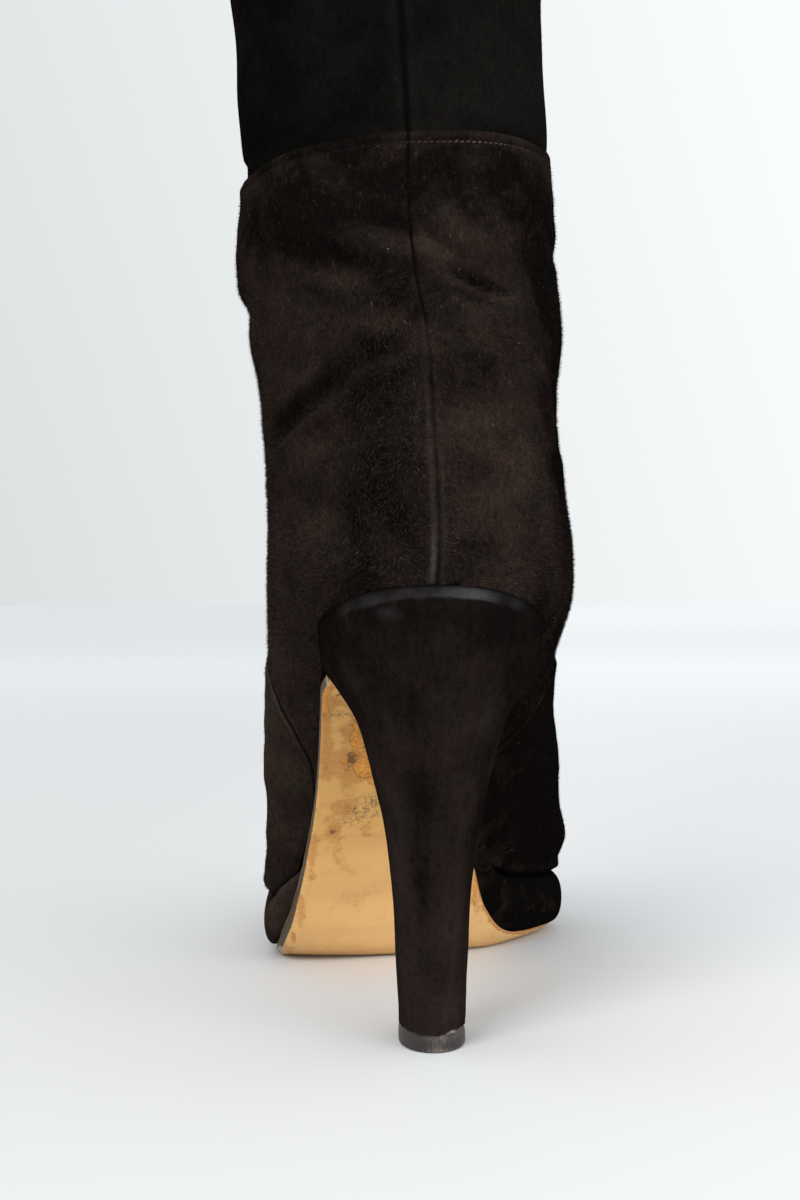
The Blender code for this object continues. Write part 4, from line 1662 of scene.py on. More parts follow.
NAPS = (
    Nap("upper_nap", Finish.UPPER_NAP, "upper_suede", 4.4, 0.7, 2.2, 0.09, 0.25, 0.5, 7),
    Nap("upper_fuzz", Finish.HEEL_NAP, "upper_suede", 6, 0.5, 1.35, 0.14, 2.4, 0.9, 57),
    Nap("shaft_nap", Finish.SHAFT_NAP, "shaft_suede", 1.6, 0.4, 1.1, 0.08, 0.5, 0.7, 17),
    Nap("heel_nap", Finish.HEEL_NAP, "heel_suede", 9, 0.25, 0.7, 0.07, 0.4, 0.6, 27),
    Nap("platform_nap", Finish.HEEL_NAP, "platform_suede", 6, 0.3, 0.9, 0.08, 0.4, 0.7, 37),
    Nap("sole_fray", Finish.FRAY, "sole_leather", 9, 0.3, 1.1, 0.08, 0.5, 1.2, 47),
)


@dataclass(frozen=True)
class Stitching:
    """A row of stitches along a path on the boot."""

    last: Last
    wardrobe: Wardrobe
    slot: str
    pitch: float = 1.5
    length: float = 1.2
    width: float = 0.42
    height: float = 0.36
    slant: float = 0.15

    def sew(self, name: str, path: Array, outward: Array, pale: Array) -> Piece:
        """Sew one row.

        Args:
            name: The row's name.
            path: Points along the row in millimetres.
            outward: The surface's normals there.
            pale: How bare the thread is at each point.

        Returns:
            The stitches as one piece.
        """
        draft = MeshDraft(self.last)
        draft.run(draft.add_points(path, out=outward, pale=pale))
        carrier = draft.build(name + "_path", [])
        sizes = {
            "Pitch": self.pitch * MM,
            "Length": self.length * MM / 2,
            "Width": self.width * MM / 2,
            "Height": self.height * MM / 2,
            "Slant": self.slant,
        }
        growth = Growth(name, sizes)
        line = growth.add("GeometryNodeMeshToCurve", None, {"Mesh": growth.given("Geometry")})
        inputs = {"Curve": line, "Length": growth.given("Pitch")}
        holes = growth.add("GeometryNodeResampleCurve", {"mode": "LENGTH"}, inputs)
        out = growth.mark("out", "FLOAT_VECTOR")
        along = growth.add("GeometryNodeInputTangent")
        beside = growth.vector("CROSS_PRODUCT", out, along)
        way = growth.vector("ADD", along, growth.vector("SCALE", beside, scale=growth.given("Slant")))
        shape = growth.add("GeometryNodeMeshUVSphere", None, {"Segments": 6, "Rings": 4, "Radius": 1})
        shape = growth.add("GeometryNodeSetShadeSmooth", None, {"Geometry": shape})
        size = [growth.given(name) for name in ("Length", "Width", "Height")]
        growth.finish(growth.plant(holes, shape, way, out, size), self.wardrobe[Finish.THREAD])
        piece = growth.grow(carrier, name)
        bpy.data.objects.remove(carrier)
        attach(piece, BODY)
        return piece


@dataclass
class Wall:
    """A hollow wall of suede round the leg or foot, with a lining and rolled edges."""

    last: Last
    wardrobe: Wardrobe
    row_pitch: float = 1.25
    half_way: float = 125
    finest: float = 0.17
    widest: float = 2
    growth: float = 0.085
    wall: float = 1.8
    rim_steps: int = 6
    lining_stride: int = 4
    stitch_depth: float = 1.9

    def _columns(self) -> Array:
        """Shares across a row, from -1 to 1, closest together at the back seam.

        Returns:
            The shares.
        """
        travelled = [0]
        while travelled[-1] < self.half_way:
            travelled.append(travelled[-1] + min(self.widest, self.finest + self.growth * travelled[-1]))
        ends = 1 - np.array(travelled) / travelled[-1]
        return np.concatenate([-ends, ends[-2::-1]])

    @staticmethod
    def _join(points: Array, closed: Array) -> None:
        """Make the ends of closed rows meet exactly."""
        points[closed, -1] = points[closed, 0]

    def _roll(self, draft: MeshDraft, start: Array, end: Array, row: int, marks: dict[str, Array]) -> None:
        """Roll an edge of the wall over from one of its surfaces to the other.

        Args:
            draft: The piece's draft.
            start: Point numbers that the roll starts from.
            end: Point numbers that it ends at.
            row: The skin's row there: 0 at the top edge, -1 at the lower one.
            marks: The skin's attributes that run on over the edge.
        """
        radius = self.wall / 2
        facing = 1 if row == 0 else -1
        rings = [start]
        for step in range(1, self.rim_steps):
            angle = math.pi * step / self.rim_steps
            inset = self.normals[row] * radius * (1 + facing * math.cos(angle))
            ring = self.outer[row] - inset + facing * UP * radius * math.sin(angle)
            ring[-1] = ring[0]
            rings.append(draft.add_points(ring, **{name: mark[row] for name, mark in marks.items()}))
        rings.append(end)
        draft.skin(np.stack(rings))

    def _sewn(self, name: str, slot: str, bare_turn: float, bare_reach: float) -> Piece:
        """Sew a row of stitches round the leg below the top edge.

        Args:
            name: The row's name.
            slot: The record's material slot; handed to the stitching, which does not use it.
            bare_turn: Turn at which the thread is barest.
            bare_reach: Degrees over which it is bare.

        Returns:
            The stitches.
        """
        down = column_depth(self.outer)
        grid = np.concatenate([self.outer, self.normals], axis=-1)
        row = [
            [np.interp(self.stitch_depth, down[:, column], grid[:, column, axis]) for axis in range(6)]
            for column in range(grid.shape[1])
        ]
        path, outward = np.split(np.array(row), 2, axis=-1)
        pale = gauss(self.surface.turn_from(bare_turn)[0], bare_reach)
        return Stitching(self.last, self.wardrobe, slot).sew(name, path, outward, pale)


# ---- Upper ----


UPPER_CREASES = (
    Crease((-14, 194.5), (-6, 191.5), (1, 189.5), 1.3, 2.6, 0.2, 0.7),
    Crease((3, 191.5), (8, 189.5), (16, 185.5), 1.2, 2.6, 0.2, 0.6),
    Crease((-44, 187.5), (-30, 184.5), (-14, 180), 1.3, 2.8, 0.4, 0.7),
    Crease((-34, 190.5), (-28, 187), (-24, 184), 0.8, 1.8, 0.3, 0.3),
    Crease((11, 181.6), (23, 178.8), (37, 177.6), 1.9, 1.15, 0.3, 1),
    Crease((-20, 173.5), (-9, 171.5), (3, 170), 1.1, 3.2, 0.2, 0.5),
    Crease((-80, 142), (-50, 151.5), (-24, 162.5), 3.2, 2.7, 0.8, 1.3),
    Crease((-30, 159), (-16, 163.5), (-2, 167.5), 1.2, 2.6, 0.3, 0.5),
    Crease((48, 192), (58, 172), (74, 140), 2, 4.6, 0.5, 0.7),
    Crease((74, 140), (80, 128), (88, 112), 1, 4.6, 0.2, 0.2),
    Crease((-66, 134), (-46, 128), (-30, 118), 1, 4.6, 0.4, 0.5),
    Crease((60, 196), (84, 190), (112, 192), 0.9, 3.6, 0.3, 0.2),
    Crease((-70, 184), (-96, 178), (-125, 180), 1.2, 3.8, 0.3, 0.3),
    Crease((128, 176), (178, 170), (226, 178), 1.3, 4, 0.5, 0.5),
    Crease((136, 160), (184, 154), (222, 160), 1.2, 4.2, 0.5, 0.3),
    Crease((122, 52), (178, 75), (236, 50), 0.8, 3.4, 0.3, 0.3),
    Crease((126, 44), (182, 66.5), (230, 42), 0.7, 3, 0.3, 0.3),
)

# Where the worn wall stands off the last, in millimetres.
UPPER_FULLNESS = (
    Patch(30, 136, 17, 13, 1.5),
    Patch(26, 188, 12, 5, 0.9),
    Patch(-27, 138, 14, 22, -1),
    Patch(-60, 124, 18, 16, 0.9),
    Patch(-4, 183, 10, 4, 0.7),
    Patch(-66, 170, 18, 8, 0.8),
    Patch(84, 172, 22, 12, 1.4),
    Patch(84, 198, 22, 12, 0.9),
    Patch(96, 92, 26, 14, -1.8),
    Patch(92, 56, 30, 12, 1.3),
    Patch(84, 30, 34, 11, 2.4),
    Patch(-92, 47, 34, 11, -1.5),
    Patch(-88, 22, 40, 6, 1.7),
)

# Tones of the nap's lie; some of them are painted shade and light, as marked below.
UPPER_TONES = (
    Patch(-62, 122, 22, 26, 0.15),
    Patch(28, 140, 16, 11, 0.45),
    Patch(36, 120, 20, 13, 0.5),
    Patch(24, 187.5, 10, 4, 0.15),
    # Painted highlight on the ridge below the crease at about 179 mm.
    Patch(24, 174.8, 12, 1.8, 0.15),
    Patch(-24, 128, 17, 26, -0.5),
    Patch(-22, 108, 18, 9, -0.3),
    Patch(-10, 160, 24, 10, -0.3),
    # Painted shade in the creases at the outer top.
    Patch(-22, 184, 20, 6, -0.25),
    Patch(-36, 200, 34, 12, -0.62),
    Patch(8, 200, 20, 10, -0.38),
    Patch(50, 200, 26, 13, -0.42),
    Patch(-66, 172, 16, 12, 0.1),
    # Painted shade along the outer fold, above its trough.
    Patch(-50, 155, 18, 3.4, -0.12),
    # Painted shade down the inner side, darkest low on the vamp, and painted light on the outer vamp.
    Patch(64, 180, 14, 26, -0.3),
    Patch(84, 140, 20, 40, -0.55),
    Patch(105, 60, 62, 62, -1.2),
    Patch(-110, 66, 50, 36, 1.15),
)

UPPER_NAP = (
    Patch(-22, 128, 24, 26, 0.32),
    Patch(-34, 113, 34, 9, 0.38),
    Patch(30, 110, 26, 8, 0.15),
    Patch(-5, 165, 34, 22, 0.18),
)


@dataclass
class Upper(Wall):
    """The foot and ankle in one wall of suede, lined, with a rolled top edge."""

    seam_row: float = 15
    seam_reach: float = 2.6
    seam_softening: int = 6
    seam_ridge: float = 1.2
    seam_pressed: Spot = (150, 186)
    lap_height: float = 0.75
    lap_fade: float = 12
    puff_starts: Spot = (96, 124)
    toe_rest: float = 14
    # How strongly the relief's tilt paints light and shade into the upper's tone.
    painted_tilt_light: float = 0.42
    seam_shares: tuple[float, ...] = (0, 0.2, 0.4, 0.6, 0.75, 0.85, 0.92, 0.97, 1)
    seam_places: tuple[float, ...] = (16.3, 15.9, 15.1, 14.5, 14.35, 14.45, 14.7, 14.95, 15.35)

    def build(self) -> Piece:
        """Make the upper's skin, rim and lining.

        Returns:
            The cover that stands for the upper.
        """
        rows = self._rows()
        columns = self._columns()[None, :]
        place, column = np.broadcast_arrays(self._place(rows[:, None], columns), columns)
        share = column * self.last.upper_end(place)
        points = self._softened(self.last.upper(place, share), rows, column)
        closed = rows <= SEAT_SECTION
        self._join(points, closed)
        normals = grid_normals(points, closed)
        surface = Surface(points, share, closed)
        self.surface, self.normals = surface, normals
        down = column_depth(points)
        seam = int(np.argmin(np.abs(rows - self.seam_row)))
        beyond = down - down[seam]
        relief = self._relief(surface, down, beyond)
        marks = self._marks(surface, down, beyond)
        # Painted light and shade: lighter where the relief turns the surface up and towards the outer
        # side, darker where it turns down and inwards.
        marks["tone"] = marks["tone"] + self.painted_tilt_light * surface.tilt(relief, down)
        outer = points + normals * relief[..., None]
        self._join(outer, closed)
        self.outer = outer
        draft = MeshDraft(self.last)
        marks["flow"] = self._flow(surface, normals)
        skin = draft.add_points(outer, **marks)
        draft.skin(skin)
        inner_rows = self._inner_rows(rows)
        inner = outer[inner_rows] - normals[inner_rows] * self.wall
        open_rows = rows[inner_rows] >= SEAT_SECTION
        for edge in (0, -1):
            height = inner[:, edge, 2]
            feather = np.maximum(height, points[inner_rows, edge, 2])
            inner[:, edge, 2] = np.where(open_rows, feather, height)
        inner[-1] = points[-1, 0] - np.array([0, self.wall, 0])
        self._join(inner, closed[inner_rows])
        lining = draft.add_points(inner)
        draft.skin(lining, 1, inward=True)
        self._roll(draft, lining[0], skin[0], 0, {name: marks[name] for name in ("tone", "nap", "flow")})
        self._feather_edges(draft, skin, lining, inner_rows, rows)
        piece = draft.build("upper_suede", [self.wardrobe[Finish.UPPER], self.wardrobe[Finish.LINING]])
        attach(piece, BODY)
        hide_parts("upper")
        return piece

    def stitch(self) -> Piece:
        """Sew the row below the top edge."""
        return self._sewn("upper_edge_stitches", "upper_suede", 24, 20)

    def _rows(self) -> Array:
        """The grid's rows, closer at the top edge and at the vamp seam.

        Returns:
            The rows' places.
        """

        def closer(place: Array) -> Array:
            """How much closer the rows lie."""
            return 1 + 2.4 * (1 - ease(0.1, 0.4, place)) + 2 * gauss(place - self.seam_row, 0.28)

        def surface(place: Array, column: Array) -> Array:
            """The upper between its feather edges."""
            return self.last.upper(place, column * self.last.upper_end(place))

        rows = even_places(surface, float(len(UPPER_SECTIONS) - 1), self.row_pitch, closer)
        for fixed in (float(SEAT_SECTION), self.seam_row):
            rows[int(np.argmin(np.abs(rows - fixed)))] = fixed
        return rows

    def _place(self, row: Array, column: Array) -> Array:
        """Places of the grid's points: rows over the foot bend to follow the vamp seam.

        Args:
            row: The rows' places.
            column: The columns' shares.

        Returns:
            The places.
        """
        bend = np.interp(np.abs(column), self.seam_shares, self.seam_places) - self.seam_row
        for _ in range(self.seam_softening):
            padded = np.pad(bend[0], 1, mode="edge")
            bend = ((padded[:-2] + padded[1:-1] + padded[2:]) / 3)[None, :]
        last = float(len(UPPER_SECTIONS) - 1)
        fade = ease(SEAT_SECTION + 1, SEAT_SECTION + 4, row)
        fade = fade * (1 - ease(last - 4, last - 1, row))
        return row + bend * gauss(row - self.seam_row, self.seam_reach) * fade

    def _softened(self, points: Array, rows: Array, column: Array, rounds: int = 40) -> Array:
        """Ease the bend between the last ring and the first arches, away from the feather edge.

        Args:
            points: Points in millimetres.
            rows: The rows' places.
            column: The points' columns.
            rounds: How often they are eased.

        Returns:
            The points.
        """
        weight = gauss(rows - SEAT_SECTION, 1.1)[:, None] * ease(0.02, 0.14, 1 - np.abs(column))
        weight[[0, -1]] = 0
        for _ in range(rounds):
            middle = points.copy()
            middle[1:-1] = (points[:-2] + points[2:]) / 2
            points = points + 0.6 * weight[..., None] * (middle - points)
        return points

    def _relief(self, surface: Surface, down: Array, beyond: Array) -> Array:
        """Height of the surface over the last, in millimetres.

        Args:
            surface: The grid.
            down: Millimetres down each column from the first row.
            beyond: Millimetres past the vamp's seam.

        Returns:
            Millimetres, one for each point.
        """
        edge = surface.edge_distance()
        leg = surface.closed[:, None]
        seamed = leg * ease(0, 3, surface.height - SEAT_RING.rear_z + 1.5)
        pressed = 1 - ease(*self.seam_pressed, surface.height)
        groove = (0.2 * pressed - 0.38) * gauss(edge, 0.3)
        ridge = (0.06 + 0.14 * pressed) * gauss(edge - self.seam_ridge, 0.7)
        stitched = -0.12 * gauss(down - self.stitch_depth, 0.6) + 0.05 * gauss(down - 0.6, 0.7)
        lap = self.lap_height * ease(-0.3, 0.3, beyond) * np.exp(-np.abs(beyond) / self.lap_fade)
        lap = lap - 0.5 * gauss(beyond + 0.7, 0.55)
        soft = 0.8 * ripple(surface.points, 26, 11) + 0.2 * ripple(surface.points, 9, 12)
        creased = surface.creases(UPPER_CREASES)
        forward = surface.points[..., 1]
        puffed = 1.1 * gauss(edge - 3.2, 1.8) * ~leg * ease(*self.puff_starts, forward)
        full = surface.patches(UPPER_FULLNESS) * ease(0, 2.5, edge + 40 * leg) + puffed
        toe = ease(0, self.toe_rest, LAST_END - forward)
        rest = ease(0, 6, edge + 40 * leg)
        return (groove + ridge) * seamed + stitched + (lap + full) * toe + (soft + creased) * toe * rest

    def _marks(self, surface: Surface, down: Array, beyond: Array) -> dict[str, Array]:
        """Point attributes of the skin.

        Args:
            surface: The grid.
            down: Millimetres down each column from the first row.
            beyond: Millimetres past the vamp's seam.

        Returns:
            The attributes by name.
        """
        edge = surface.edge_distance()
        leg = surface.closed[:, None] * 1
        tone = surface.patches(UPPER_TONES, 5) + 0.16 * ripple(surface.points, 22, 21)
        tone = tone + 0.08 * ripple(surface.points, 8, 22)
        outer_side = (surface.share < 0) * 1
        above = ease(172, 188, surface.height)
        # The back seam's groove is darker. Its ridge is lighter, more so on the outer side; that lightness
        # is a painted highlight.
        ridge = gauss(edge - self.seam_ridge, 0.8) * (1 - ease(158, 182, surface.height)) * leg
        tone = tone - (0.22 + 0.5 * above) * leg * gauss(edge, 0.34) + (0.05 + 0.1 * outer_side) * ridge
        # Painted shadow on the quarter beside the vamp's lapped edge. A light line runs along that edge:
        # its raw cut edge, partly a painted highlight.
        tone = tone - 2.2 * gauss(beyond + 0.7, 0.7) + 0.9 * gauss(beyond - 0.1, 0.28)
        tone = tone + (0.3 * gauss(surface.turn_from(30), 26) - 0.2) * gauss(down - 0.3, 1.4)
        # Shine on the back seam's ridge: rubbed, glossy wear and a painted highlight, stronger low down
        # and on the outer side.
        worn = 0.45 * gauss(surface.height - 115.5, 5) * outer_side
        worn = worn + 0.16 * (1 - ease(120, 172, surface.height))
        rubbed_and_highlight = gauss(edge - self.seam_ridge, 0.65) * leg * worn * (0.5 + 0.5 * outer_side)
        nap = 0.42 - 0.34 * ease(-1, 4, beyond) + surface.patches(UPPER_NAP, 6) * leg
        nap = nap - 0.2 * ease(176, 196, surface.height)
        nap = nap * (1 - 0.9 * rubbed_and_highlight) * (1 - 0.85 * leg * gauss(edge, 0.7)) * ease(0.4, 3, down)
        nap = nap * (1 - 0.95 * gauss(beyond + 0.4, 1.1))
        nap = nap * (1 - 0.6 * gauss(down - self.stitch_depth, 0.8))
        return {"tone": tone, "shine": rubbed_and_highlight, "nap": np.clip(nap, 0, 1)}

    def _flow(self, surface: Surface, normals: Array) -> Array:
        """Direction that the nap is brushed in.

        Args:
            surface: The grid.
            normals: Its normals.

        Returns:
            Unit vectors.
        """
        down = np.gradient(surface.points, axis=0)
        down = unit(down - normals * np.sum(down * normals, axis=-1, keepdims=True))
        swirl = 0.75 * ripple(surface.points, 34, 31) + 0.5 * ripple(surface.points, 11, 32)
        swirl = swirl + 0.5 * gauss(surface.turn_from(-30), 30) * gauss(surface.height - 118, 18)
        return brushed(down, normals, swirl)

    def _inner_rows(self, rows: Array) -> Array:
        """Rows that the lining shares with the skin.

        Args:
            rows: Places of the skin's rows.

        Returns:
            The numbers of the shared rows.
        """
        seat = int(np.argmin(np.abs(rows - SEAT_SECTION)))
        above, below = (np.arange(*ends, self.lining_stride) for ends in ((0, seat), (seat, len(rows))))
        return np.unique(np.concatenate([above, below, [len(rows) - 1]]))

    @staticmethod
    def _feather_edges(
        draft: MeshDraft, skin: Array, lining: Array, inner_rows: Array, rows: Array
    ) -> None:
        """Close the cut edge of the wall along both sides of the sole.

        Args:
            draft: The upper's draft.
            skin: Point numbers of the skin.
            lining: Point numbers of the lining.
            inner_rows: The skin's rows that the lining shares.
            rows: Places of the skin's rows.
        """
        seat = int(np.argmin(np.abs(rows - SEAT_SECTION)))
        first = int(np.argmax(inner_rows == seat))
        steps = inner_rows[first:] - seat
        draft.strip(skin[seat:, 0], lining[first:, 0], steps)
        draft.strip(skin[seat:, -1], lining[first:, -1], steps, flip=True)


# ---- Shaft ----


SHAFT_CREASES = (
    Crease((20, 262), (44, 256), (80, 262), 0.9, 7, 0.3, 0.3),
    Crease((-30, 250), (-60, 244), (-100, 252), 0.8, 8, 0.3, 0.3),
    Crease((130, 240), (180, 232), (230, 242), 1.4, 7, 0.5, 0.5),
    Crease((126, 262), (172, 252), (214, 260), 1.2, 8, 0.5, 0.4),
    Crease((-20, 508), (-58, 498), (-96, 510), 1.2, 9, 0.4, 0.4),
    Crease((18, 520), (52, 508), (92, 522), 1.2, 9, 0.4, 0.4),
    Crease((-24, 536), (-50, 528), (-84, 538), 0.9, 8, 0.4, 0.3),
    Crease((24, 492), (48, 482), (78, 492), 0.9, 8, 0.4, 0.3),
)

SHAFT_TONES = (
    # Painted shade on the outer side.
    Patch(-45, 235, 30, 40, -0.45),
    Patch(30, 235, 22, 24, 0.2),
    Patch(70, 225, 14, 40, 0.25),
    Patch(-8, 222, 10, 8, -0.3),
    Patch(-70, 420, 30, 80, 0.2),
    Patch(110, 520, 40, 60, 0.2),
)


@dataclass
class Shaft(Wall):
    """The leg: a smooth suede tube that comes out from inside the upper's top edge."""

    row_pitch: float = 2.6
    half_way: float = 150
    finest: float = 0.2
    widest: float = 3
    growth: float = 0.09
    wall: float = 1.5
    stitch_depth: float = 3

    def build(self) -> Piece:
        """Make the shaft's skin, top edge and lining.

        Returns:
            The cover that stands for the shaft.
        """
        rows = self._rows()
        place, share = np.broadcast_arrays(rows[:, None], self._columns()[None, :])
        points = self.last.shaft(place, share)
        closed = np.ones(len(rows), bool)
        self._join(points, closed)
        self.normals = grid_normals(points, closed)
        self.surface = Surface(points, share, closed)
        down = column_depth(points)
        self.outer = points + self.normals * self._relief(self.surface, down)[..., None]
        self._join(self.outer, closed)
        marks = self._marks(self.surface, down)
        draft = MeshDraft(self.last)
        skin = draft.add_points(self.outer, **marks)
        draft.skin(skin)
        inner_rows = np.unique(np.append(np.arange(0, len(rows), self.lining_stride), len(rows) - 1))
        inner = self.outer[inner_rows] - self.normals[inner_rows] * self.wall
        self._join(inner, closed[inner_rows])
        lining = draft.add_points(inner)
        draft.skin(lining, 1, inward=True)
        carried = {name: marks[name] for name in ("tone", "flow")}
        self._roll(draft, lining[0], skin[0], 0, carried)
        self._roll(draft, skin[-1], lining[-1], -1, carried)
        piece = draft.build("shaft_suede", [self.wardrobe[Finish.SHAFT], self.wardrobe[Finish.LEG_LINING]])
        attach(piece, BODY)
        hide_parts("shaft")
        return piece

    def stitch(self) -> Piece:
        """Sew the hem's row below the top edge."""
        return self._sewn("shaft_hem_stitches", "shaft_suede", 0, 400)

    def _rows(self) -> Array:
        """The grid's rows, closer at the top edge and where the shaft leaves the upper.

        Returns:
            The rows' places.
        """
        last = float(len(SHAFT_SECTIONS) - 1)

        def closer(place: Array) -> Array:
            """How much closer the rows lie."""
            return 1 + 2 * (1 - ease(0.1, 0.3, place)) + 0.6 * ease(last - 3, last - 2, place)

        return even_places(self.last.shaft, last, self.row_pitch, closer)

    def _relief(self, surface: Surface, down: Array) -> Array:
        """Height of the surface over its sections, in millimetres.

        Args:
            surface: The grid.
            down: Millimetres down each column from the first row.

        Returns:
            Millimetres, one for each point.
        """
        edge = surface.edge_distance()
        free = ease(222, 236, surface.height)
        seam = -0.4 * gauss(edge, 0.45) + 0.12 * gauss(edge - 1.5, 0.9)
        hem = -0.25 * gauss(down - self.stitch_depth, 0.6) + 0.2 * gauss(down - 1.2, 1.2)
        drape = 0.9 * ripple(surface.points * np.array([1, 1, 0.35]), 60, 41)
        fine = 0.25 * ripple(surface.points, 24, 42)
        return seam + hem + (drape + fine + surface.creases(SHAFT_CREASES)) * free

    def _marks(self, surface: Surface, down: Array) -> dict[str, Array]:
        """Point attributes of the skin.

        Args:
            surface: The grid.
            down: Millimetres down each column from the first row.

        Returns:
            The attributes by name.
        """
        edge = surface.edge_distance()
        tone = surface.patches(SHAFT_TONES) + 0.3 * ripple(surface.points, 38, 43)
        tone = tone - 0.9 * gauss(edge, 0.6) + 0.3 * gauss(edge - 1.8, 1)
        nap = 0.35 + 0.25 * ripple(surface.points, 40, 44)
        nap = nap * (1 - 0.8 * gauss(edge, 0.8)) * ease(0.5, 4, down)
        nap = nap * ease(209, 214, surface.height)
        swirl = 0.35 * ripple(surface.points, 50, 45) + 0.25 * ripple(surface.points, 14, 46)
        flow = brushed(unit(np.gradient(surface.points, axis=0)), self.normals, swirl)
        return {"tone": tone, "nap": np.clip(nap, 0, 1), "flow": flow}


# ---- Heel and heel tip ----


HEEL_TONES = (
    Patch(0, 104, 300, 20, -0.42),
    Patch(0, 70, 300, 26, -0.1),
    Patch(0, 14, 300, 24, 0.35),
    Patch(20, 78, 26, 14, 0.25),
    Patch(-12, 92, 20, 10, 0.2),
    Patch(-40, 60, 30, 30, 0.2),
    Patch(10, 20, 40, 14, 0.25),
    Patch(-16, 44, 14, 26, -0.45),
    Patch(-60, 40, 22, 26, 0.35),
    Patch(34, 40, 14, 30, 0.3),
    Patch(62, 46, 14, 26, -0.3),
    Patch(4, 18, 20, 8, -0.3),
)

# Small shine patches: glossy wear with a painted highlight.
HEEL_SHINE = (
    Patch(46, 80, 6, 6, 0.05),
    Patch(-24, 103, 5, 1.3, 0.16),
)


@dataclass
class Heel:
    """The covered block heel, hollowed towards its tip, with a rolled top rim made glossy by glue and lit
    by a painted highlight.
    """

    last: Last
    wardrobe: Wardrobe
    columns: int = 120
    row_pitch: float = 1.15
    top_gap: float = 0.05
    rim_height: float = 3.1
    rim_start: float = -60
    rim_end: float = 58
    rim_bright: float = 19
    hem_drop: float = 2.3

    def build(self) -> Piece:
        """Make the heel's cover and its closed ends.

        Returns:
            The cover that stands for the heel.
        """
        angle = np.linspace(-math.pi, math.pi, self.columns + 1)
        table = self._rings(angle)
        rows = self._rows(table)
        points = rows_between(table, rows)
        points[:, -1] = points[:, 0]
        turn = np.degrees(np.broadcast_to(angle, points.shape[:-1]))
        closed = np.ones(len(rows), bool)
        normals = grid_normals(points, closed)
        down = column_depth(points)
        surface = Surface(points, (1 - np.abs(turn) / 180) * np.copysign(1, turn), closed)
        outer = points + normals * self._relief(surface, down)[..., None]
        outer[..., 2] -= self._overhang(surface, down)
        outer[:, -1] = outer[:, 0]
        draft = MeshDraft(self.last)
        draft.body(outer, **self._marks(surface, down, normals))
        piece = draft.build("heel_cover", [self.wardrobe[Finish.HEEL]])
        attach(piece, BODY)
        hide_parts("heel")
        return piece

    def _rings(self, angle: Array) -> Array:
        """The heel's levels, from the seat down.

        Args:
            angle: Angles round the heel.

        Returns:
            The rings.
        """
        seat = self.last.heel_ring(SEAT_RING, angle)
        top = self.last.under(seat[:, :2], lambda row: self.top_gap)
        return np.stack([top] + [self.last.heel_ring(section, angle) for section in HEEL_SECTIONS])

    def _rows(self, table: Array) -> Array:
        """Rows down the heel, closer at its rim and its lower edge.

        Args:
            table: The heel's levels.

        Returns:
            The rows' places in the table.
        """

        def closer(place: Array) -> Array:
            """How much closer the rows lie."""
            return 1 + 2 * (place < 0.6) + 1.5 * (place > len(table) - 1.2)

        def surface(place: Array, share: Array) -> Array:
            """The heel's whole rings."""
            return rows_between(table, place[:, 0])

        return even_places(surface, len(table) - 1, self.row_pitch, closer, 1200)

    def _relief(self, surface: Surface, down: Array) -> Array:
        """Height over the heel block, in millimetres.

        Args:
            surface: The grid.
            down: Millimetres down each column from the first row.

        Returns:
            Millimetres, one for each point.
        """
        lip = 0.18 * gauss(down - 1.8, 1.6) - 0.6 * (1 - ease(0, 0.9, down))
        ledge = -0.1 * gauss(down - self.rim_height, 0.5)
        below = down.max(axis=0, keepdims=True) - down
        hem = 0.12 * (1 - ease(0, 1.5, below)) - 0.1 * (1 - ease(0, 0.25, below))
        soft = 0.16 * ripple(surface.points, 20, 51) + 0.06 * ripple(surface.points, 6, 52)
        return lip + ledge + hem + soft * ease(0, 4, down) * ease(0, 3, below)

    def _overhang(self, surface: Surface, down: Array) -> Array:
        """How far the cover's ragged hem comes down over the tip, in millimetres.

        Args:
            surface: The grid.
            down: Millimetres down each column from the first row.

        Returns:
            Millimetres, one for each point.
        """
        below = down.max(axis=0, keepdims=True) - down
        low = (0.45 + 0.55 * gauss(surface.turn, 85)) * (1 - 0.3 * gauss(surface.turn - 50, 20))
        lowest = surface.points[-1:]
        ragged = 0.3 * ripple(lowest, 4, 62) + 0.15 * ripple(lowest, 1.8, 63)
        return (self.hem_drop * low + ragged * (0.3 + 0.7 * low)) * (1 - ease(0, 5, below))

    def _marks(self, surface: Surface, down: Array, normals: Array) -> dict[str, Array]:
        """Point attributes of the cover.

        Args:
            surface: The grid.
            down: Millimetres down each column from the first row.
            normals: Its normals.

        Returns:
            The attributes by name.
        """
        turn = surface.turn
        below = down.max(axis=0, keepdims=True) - down
        along = ease(self.rim_start, self.rim_start + 22, turn)
        along = along * (1 - ease(self.rim_end - 14, self.rim_end, turn))
        # The rim strip's brightness: glue gloss and a painted highlight, brightest near the turn
        # rim_bright.
        brighter = 0.12 + 0.46 * gauss(turn - self.rim_bright, 10) + 0.1 * gauss(turn - 2, 16)
        brighter = brighter + 0.08 * ripple(surface.points, 5, 58)
        wander = 0.35 * ripple(surface.points, 14, 53) + 0.25 * ripple(surface.points, 3.4, 59)
        strip = 1 - ease(self.rim_height - 0.4, self.rim_height + 0.3, down + wander)
        strip = strip * ease(0.1, 0.6, down)
        shine = np.clip(strip * along * brighter + surface.patches(HEEL_SHINE), 0, 1)
        tone = surface.patches(HEEL_TONES) + 0.2 * ripple(surface.points, 16, 54)
        tone = tone - 0.5 * (1 - ease(0, 0.8, down))
        ragged = 1 - ease(0.3, 1.1, below + 0.3 * ripple(surface.points, 4, 55))
        fray = 0.95 * ragged * gauss(turn - 34, 24)
        nap = (0.45 + 0.25 * ripple(surface.points, 18, 56)) * (1 - shine) * ease(1, 5, down)
        swirl = 0.35 * ripple(surface.points, 26, 57)
        flow = brushed(unit(np.gradient(surface.points, axis=0)), normals, swirl)
        return {"tone": tone, "shine": shine, "fray": fray, "nap": np.clip(nap, 0, 1), "flow": flow}


